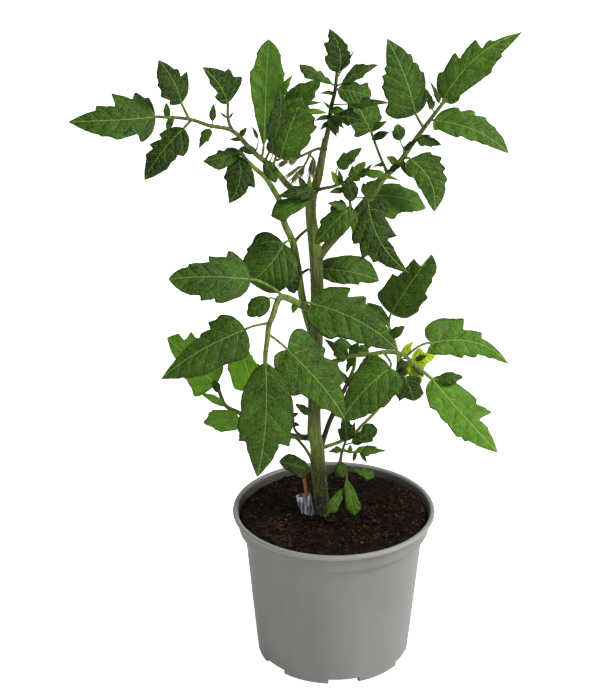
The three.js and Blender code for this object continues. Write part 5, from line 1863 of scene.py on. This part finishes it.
def cut_notches(piece, foot):
    """Cuts the gaps in the foot ring and the drain holes behind them."""
    mesh = bmesh.new()
    steps, below = 8, 1
    for i in range(NOTCH_COUNT):
        middle = FIRST_NOTCH + 2 * math.pi * i / NOTCH_COUNT
        lines = grid_of(mesh, steps, 1)
        for k, line in enumerate(lines):
            angle = middle - NOTCH_HALF_ANGLE + 2 * NOTCH_HALF_ANGLE * k / steps
            for radius, vert in zip((CHANNEL_RADIUS - 2, foot + 3), line):
                vert.co = (radius * math.cos(angle), radius * math.sin(angle), -below)
        faces = list(faces_at(vert for line in lines for vert in line))
        made = bmesh.ops.extrude_face_region(mesh, geom=faces)["geom"]
        lifted = [item for item in made if isinstance(item, bmesh.types.BMVert)]
        bmesh.ops.translate(mesh, vec=(0, 0, below + NOTCH_HEIGHT), verts=lifted)
        drain = (DISC_RADIUS + CHANNEL_RADIUS) / 2
        matrix = Matrix.Translation((drain * math.cos(middle), drain * math.sin(middle), CHANNEL_TOP))
        add_rod(mesh, 24, DRAIN_RADIUS, DRAIN_RADIUS, 8, matrix)
    bmesh.ops.recalc_face_normals(mesh, faces=mesh.faces)
    cutter = mesh_object(mesh, "notch_cutter")
    cut = piece.modifiers.new("notches", "BOOLEAN")
    cut.object = cutter
    cut.operation = "DIFFERENCE"
    apply_modifiers(piece)
    sharpen(piece.data)
    bpy.data.objects.remove(cutter)


def sharpen(data):
    """Marks the edges that stay sharp in smooth shading."""
    mesh = bmesh.new()
    mesh.from_mesh(data)
    for edge in mesh.edges:
        edge.smooth = edge.calc_face_angle(0) < CREASE_ANGLE
    mesh.to_mesh(data)
    mesh.free()


def apply_modifiers(piece):
    """Bakes a piece's modifiers into its mesh."""
    graph = bpy.context.evaluated_depsgraph_get()
    data = bpy.data.meshes.new_from_object(piece.evaluated_get(graph))
    piece.modifiers.clear()
    old, piece.data = piece.data, data
    data.name = piece.name
    bpy.data.meshes.remove(old)


class TOMATO_OT_soil(PlantPiece, bpy.types.Operator):
    """Builds the peat with its lumps, loose crumbs and fibres"""

    bl_idname = "tomato.soil"
    bl_label = "Soil"

    def execute(self, context):
        pot = context.scene.tomato_pot
        rng = random.Random("soil")
        mesh = new_mesh()
        profile = [*SOIL_UNDERSIDE, (SOIL_RADIUS - 0.4, SOIL_LEVEL - 2)]
        shares = [1 - k / SOIL_RINGS for k in range(1, SOIL_RINGS + 1)]
        profile += [(SOIL_RADIUS * share**0.9, SOIL_LEVEL) for share in shares]
        spin_profile(mesh, profile, SOIL_STEPS)
        for vert in mesh.verts:
            if vert.co.z > SOIL_LEVEL - 2.5:
                vert.co.z += soil_rise(vert.co)
        for face in mesh.faces:
            face.smooth = True
        materials = [soil_material("peat", pot.peat, pot.fibre, 0.5)]
        finish_piece(mesh, "peat", materials, ["soil"])
        add_crumbs(pot, rng)
        return {"FINISHED"}


def add_crumbs(pot, rng):
    """Loose crumbs on the soil, and a fibre among every few of them."""
    mesh = new_mesh()
    heap = Heap(mesh, HEAP_SIZE)
    crumb_slot, fibre_slot = range(2)
    for i in range(pot.crumbs):
        radius = (SOIL_RADIUS - 1.5) * math.sqrt(rng.random())
        turn = rng.uniform(0, 2 * math.pi)
        spot = Vector((radius * math.cos(turn), radius * math.sin(turn), SOIL_LEVEL))
        size = CRUMB_LEAST + CRUMB_SPREAD * rng.random() ** 3
        spot.z += soil_rise(spot) + size * rng.uniform(-0.4, 0.5)
        shape = Vector((rng.uniform(0.7, 1.5), rng.uniform(0.7, 1.5), rng.uniform(0.5, 1.0))) * size
        spin = Euler((rng.uniform(-0.6, 0.6), rng.uniform(-0.6, 0.6), rng.uniform(0, 6.3)))
        fibre = i % FIBRE_EVERY == 0
        if fibre:
            matrix = Matrix.LocRotScale(spot + Vector((0, 0, 0.3)), lying(rng), None)
            made = add_rod(heap.room(), 4, *FIBRE_RADII, rng.uniform(*FIBRE_LENGTHS), matrix)
        else:
            made = add_lump(heap.room(), Matrix.LocRotScale(spot, spin, shape))
            for vert in made:
                vert.co += Vector(rng.uniform(-CRUMB_UNEVEN, CRUMB_UNEVEN) * size for _ in range(3))
        slot = fibre_slot if fibre or rng.random() < 0.2 else crumb_slot
        for face in faces_at(made):
            face.material_index = slot
    heap.close()
    materials = [
        soil_material("crumbs", pot.peat, pot.fibre, 0.6),
        soil_material("fibres", pot.fibre, paler(pot.fibre, 1.8), 0.6),
    ]
    finish_piece(mesh, "peat_crumbs", materials)


def lying(rng):
    """A turn that lays a rod nearly flat, pointing any way."""
    return Euler((math.pi / 2 + rng.uniform(-0.25, 0.25), 0, rng.uniform(0, 6.3)))


def soil_rise(spot):
    """Height of the soil's lumps above its level, which falls off towards the pot's wall."""
    flat = Vector((spot.x, spot.y, 0))
    rise = 0.0
    for height, length in SOIL_LUMPS:
        rise += height * noise.noise(flat / length)
    edge = within(0.0, (SOIL_RADIUS - flat.length) / 4, 1.0)
    return rise * (0.3 + 0.7 * edge) - 1.2 * (1 - edge)


class TOMATO_OT_clip(PlantPiece, bpy.types.Operator):
    """Builds the ribbed clear clip and the thin stick beside the stem"""

    bl_idname = "tomato.clip"
    bl_label = "Clip and stick"

    def execute(self, context):
        build_clip()
        mesh = new_mesh()
        stick = Line([Vector(point) for point in STICK["path"]])
        tube(mesh, stick, STICK["girths"], sides=14, steps=24, shape=uneven)
        finish_piece(mesh, "thin_stick", [stick_material()], ["support_stick"])
        return {"FINISHED"}


def build_clip():
    """A flat sleeve with upright ribs on its wide sides, leaning with the stick."""
    mesh = new_mesh()
    around, up = 120, 6
    lines = grid_of(mesh, around, up)
    stand = Matrix.Translation(CLIP_FOOT) @ Matrix.Rotation(CLIP_LEAN, 4, "Y")
    half_width, half_depth = CLIP_WIDTH / 2, CLIP_DEPTH / 2
    for i, line in enumerate(lines):
        x, y = flat_ring(2 * math.pi * i / around, half_width - CLIP_RIB, half_depth - CLIP_RIB)
        ribbed = 0.5 + 0.5 * math.cos(2 * math.pi * CLIP_RIBS * x / CLIP_WIDTH)
        y *= 1 + CLIP_RIB * ribbed / half_depth
        for j, vert in enumerate(line):
            vert.co = stand @ Vector((x, y, CLIP_HEIGHT * j / up))
    bmesh.ops.remove_doubles(mesh, verts=mesh.verts, dist=WELD)
    bmesh.ops.recalc_face_normals(mesh, faces=mesh.faces)
    bmesh.ops.solidify(mesh, geom=mesh.faces[:], thickness=CLIP_WALL)
    for face in mesh.faces:
        face.smooth = True
    finish_piece(mesh, "ribbed_clip", [clip_material()], ["grafting_clip"])


def uneven(share, angle):
    """The shape of the stick."""
    return 1 + 0.08 * noise.noise(Vector((math.cos(angle), math.sin(angle), share * 9)))


def flat_ring(angle, half_width, half_depth, power=0.28):
    """A point on a rounded box outline."""
    cosine, sine = math.cos(angle), math.sin(angle)
    return (
        half_width * math.copysign(abs(cosine) ** power, cosine),
        half_depth * math.copysign(abs(sine) ** power, sine),
    )


class TOMATO_OT_stage(PlantPiece, bpy.types.Operator):
    """Sets the pale floor, the soft light and the camera"""

    bl_idname = "tomato.stage"
    bl_label = "Stage"

    def execute(self, context):
        studio = context.scene.tomato_studio
        add_floor(studio)
        add_surround(context.scene, studio)
        add_light("key_light", KEY_PLACE, studio.key, KEY_SIZE)
        add_light("fill_light", FILL_PLACE, studio.fill, FILL_SIZE)
        add_camera(context.scene, studio)
        context.scene.view_settings.view_transform = "Standard"
        return {"FINISHED"}


def add_floor(studio):
    """A wide pale floor, which the camera sees as white."""
    mesh = bmesh.new()
    bmesh.ops.create_grid(mesh, x_segments=4, y_segments=4, size=FLOOR_HALF)
    floor = mesh_object(mesh, "floor", scale=1)
    material, n, shader = new_material("floor_white", 0.9)
    soft = n.noise(n.place(), 2, 1)
    n.feed(shader.inputs["Base Color"], n.mix(soft, (0.88, 0.88, 0.88), (0.92, 0.92, 0.92)))
    seen = n.add("ShaderNodeLightPath")
    n.feed(shader.inputs["Emission Color"], n.mix(seen, [studio.floor_glow] * 3, (1.0, 1.0, 1.0)))
    shader.inputs["Emission Strength"].default_value = 1
    floor.data.materials.append(material)


def add_surround(scene, studio):
    """Even white light from all round, weaker from below, which the camera sees as white."""
    world = bpy.data.worlds.new("surround")
    world.use_nodes = True
    scene.world = world
    sky = Nodes(world.node_tree)
    background = world.node_tree.nodes["Background"]
    height = sky.add("ShaderNodeSeparateXYZ", {0: sky.add("ShaderNodeTexCoord")}, output=2)
    light = sky.step(height, -0.2, 0.9, studio.sky * 0.45, studio.sky)
    seen = sky.add("ShaderNodeLightPath")
    sky.feed(background.inputs["Color"], (1.0, 1.0, 1.0))
    sky.feed(background.inputs["Strength"], sky.math("MAXIMUM", seen, light))


def add_camera(scene, studio):
    """The camera, at the photograph's angle and distance."""
    camera = bpy.data.cameras.new("camera")
    camera.sensor_fit = "VERTICAL"
    camera.sensor_height = 36
    camera.lens = studio.lens
    camera.clip_start = 0.05
    viewer = add_object("camera", camera)
    back = Vector((0, -math.cos(studio.rise), math.sin(studio.rise)))
    viewer.location = Vector(AIM) + back * studio.distance
    viewer.rotation_euler = (math.pi / 2 - studio.rise, 0, 0)
    scene.camera = viewer


def add_light(name, place, power, size):
    """A square soft light that looks at the plant."""
    lamp = bpy.data.lights.new(name, "AREA")
    lamp.energy = power
    lamp.size = size
    light = add_object(name, lamp)
    light.location = place
    light.rotation_euler = (Vector(AIM) - Vector(place)).to_track_quat("-Z", "Y").to_euler()


class TOMATO_PT_panel(bpy.types.Panel):
    """Sizes, colours and the pieces of the potted tomato plant"""

    bl_label = "Tomato plant"
    bl_idname = "TOMATO_PT_panel"
    bl_space_type = "VIEW_3D"
    bl_region_type = "UI"
    bl_category = "Tomato"

    def draw(self, context):
        for group in PROPERTY_GROUPS:
            box = self.layout.box()
            values = getattr(context.scene, group)
            for name in values.bl_rna.properties.keys():
                if name not in ("rna_type", "name"):
                    box.prop(values, name)
        for operator in OPERATORS:
            self.layout.operator(operator.bl_idname)


PROPERTY_GROUPS = {
    "tomato_leaves": TOMATO_PG_leaves,
    "tomato_stems": TOMATO_PG_stems,
    "tomato_pot": TOMATO_PG_pot,
    "tomato_studio": TOMATO_PG_studio,
}
OPERATORS = (
    TOMATO_OT_stage,
    TOMATO_OT_pot,
    TOMATO_OT_soil,
    TOMATO_OT_clip,
    TOMATO_OT_stem,
    TOMATO_OT_foliage,
)


def register():
    for group, kind in PROPERTY_GROUPS.items():
        bpy.utils.register_class(kind)
        setattr(bpy.types.Scene, group, PointerProperty(type=kind))
    for kind in (*OPERATORS, TOMATO_PT_panel):
        bpy.utils.register_class(kind)


def unregister():
    for kind in reversed((*OPERATORS, TOMATO_PT_panel)):
        bpy.utils.unregister_class(kind)
    for group, kind in PROPERTY_GROUPS.items():
        delattr(bpy.types.Scene, group)
        bpy.utils.unregister_class(kind)


def main():
    """Builds every piece."""
    register()
    for operator in OPERATORS:
        family, name = operator.bl_idname.split(".")
        result = getattr(getattr(bpy.ops, family), name)()
        if result != {"FINISHED"}:
            raise RuntimeError(f"{operator.bl_label} did not finish")


if __name__ == "__main__":
    main()
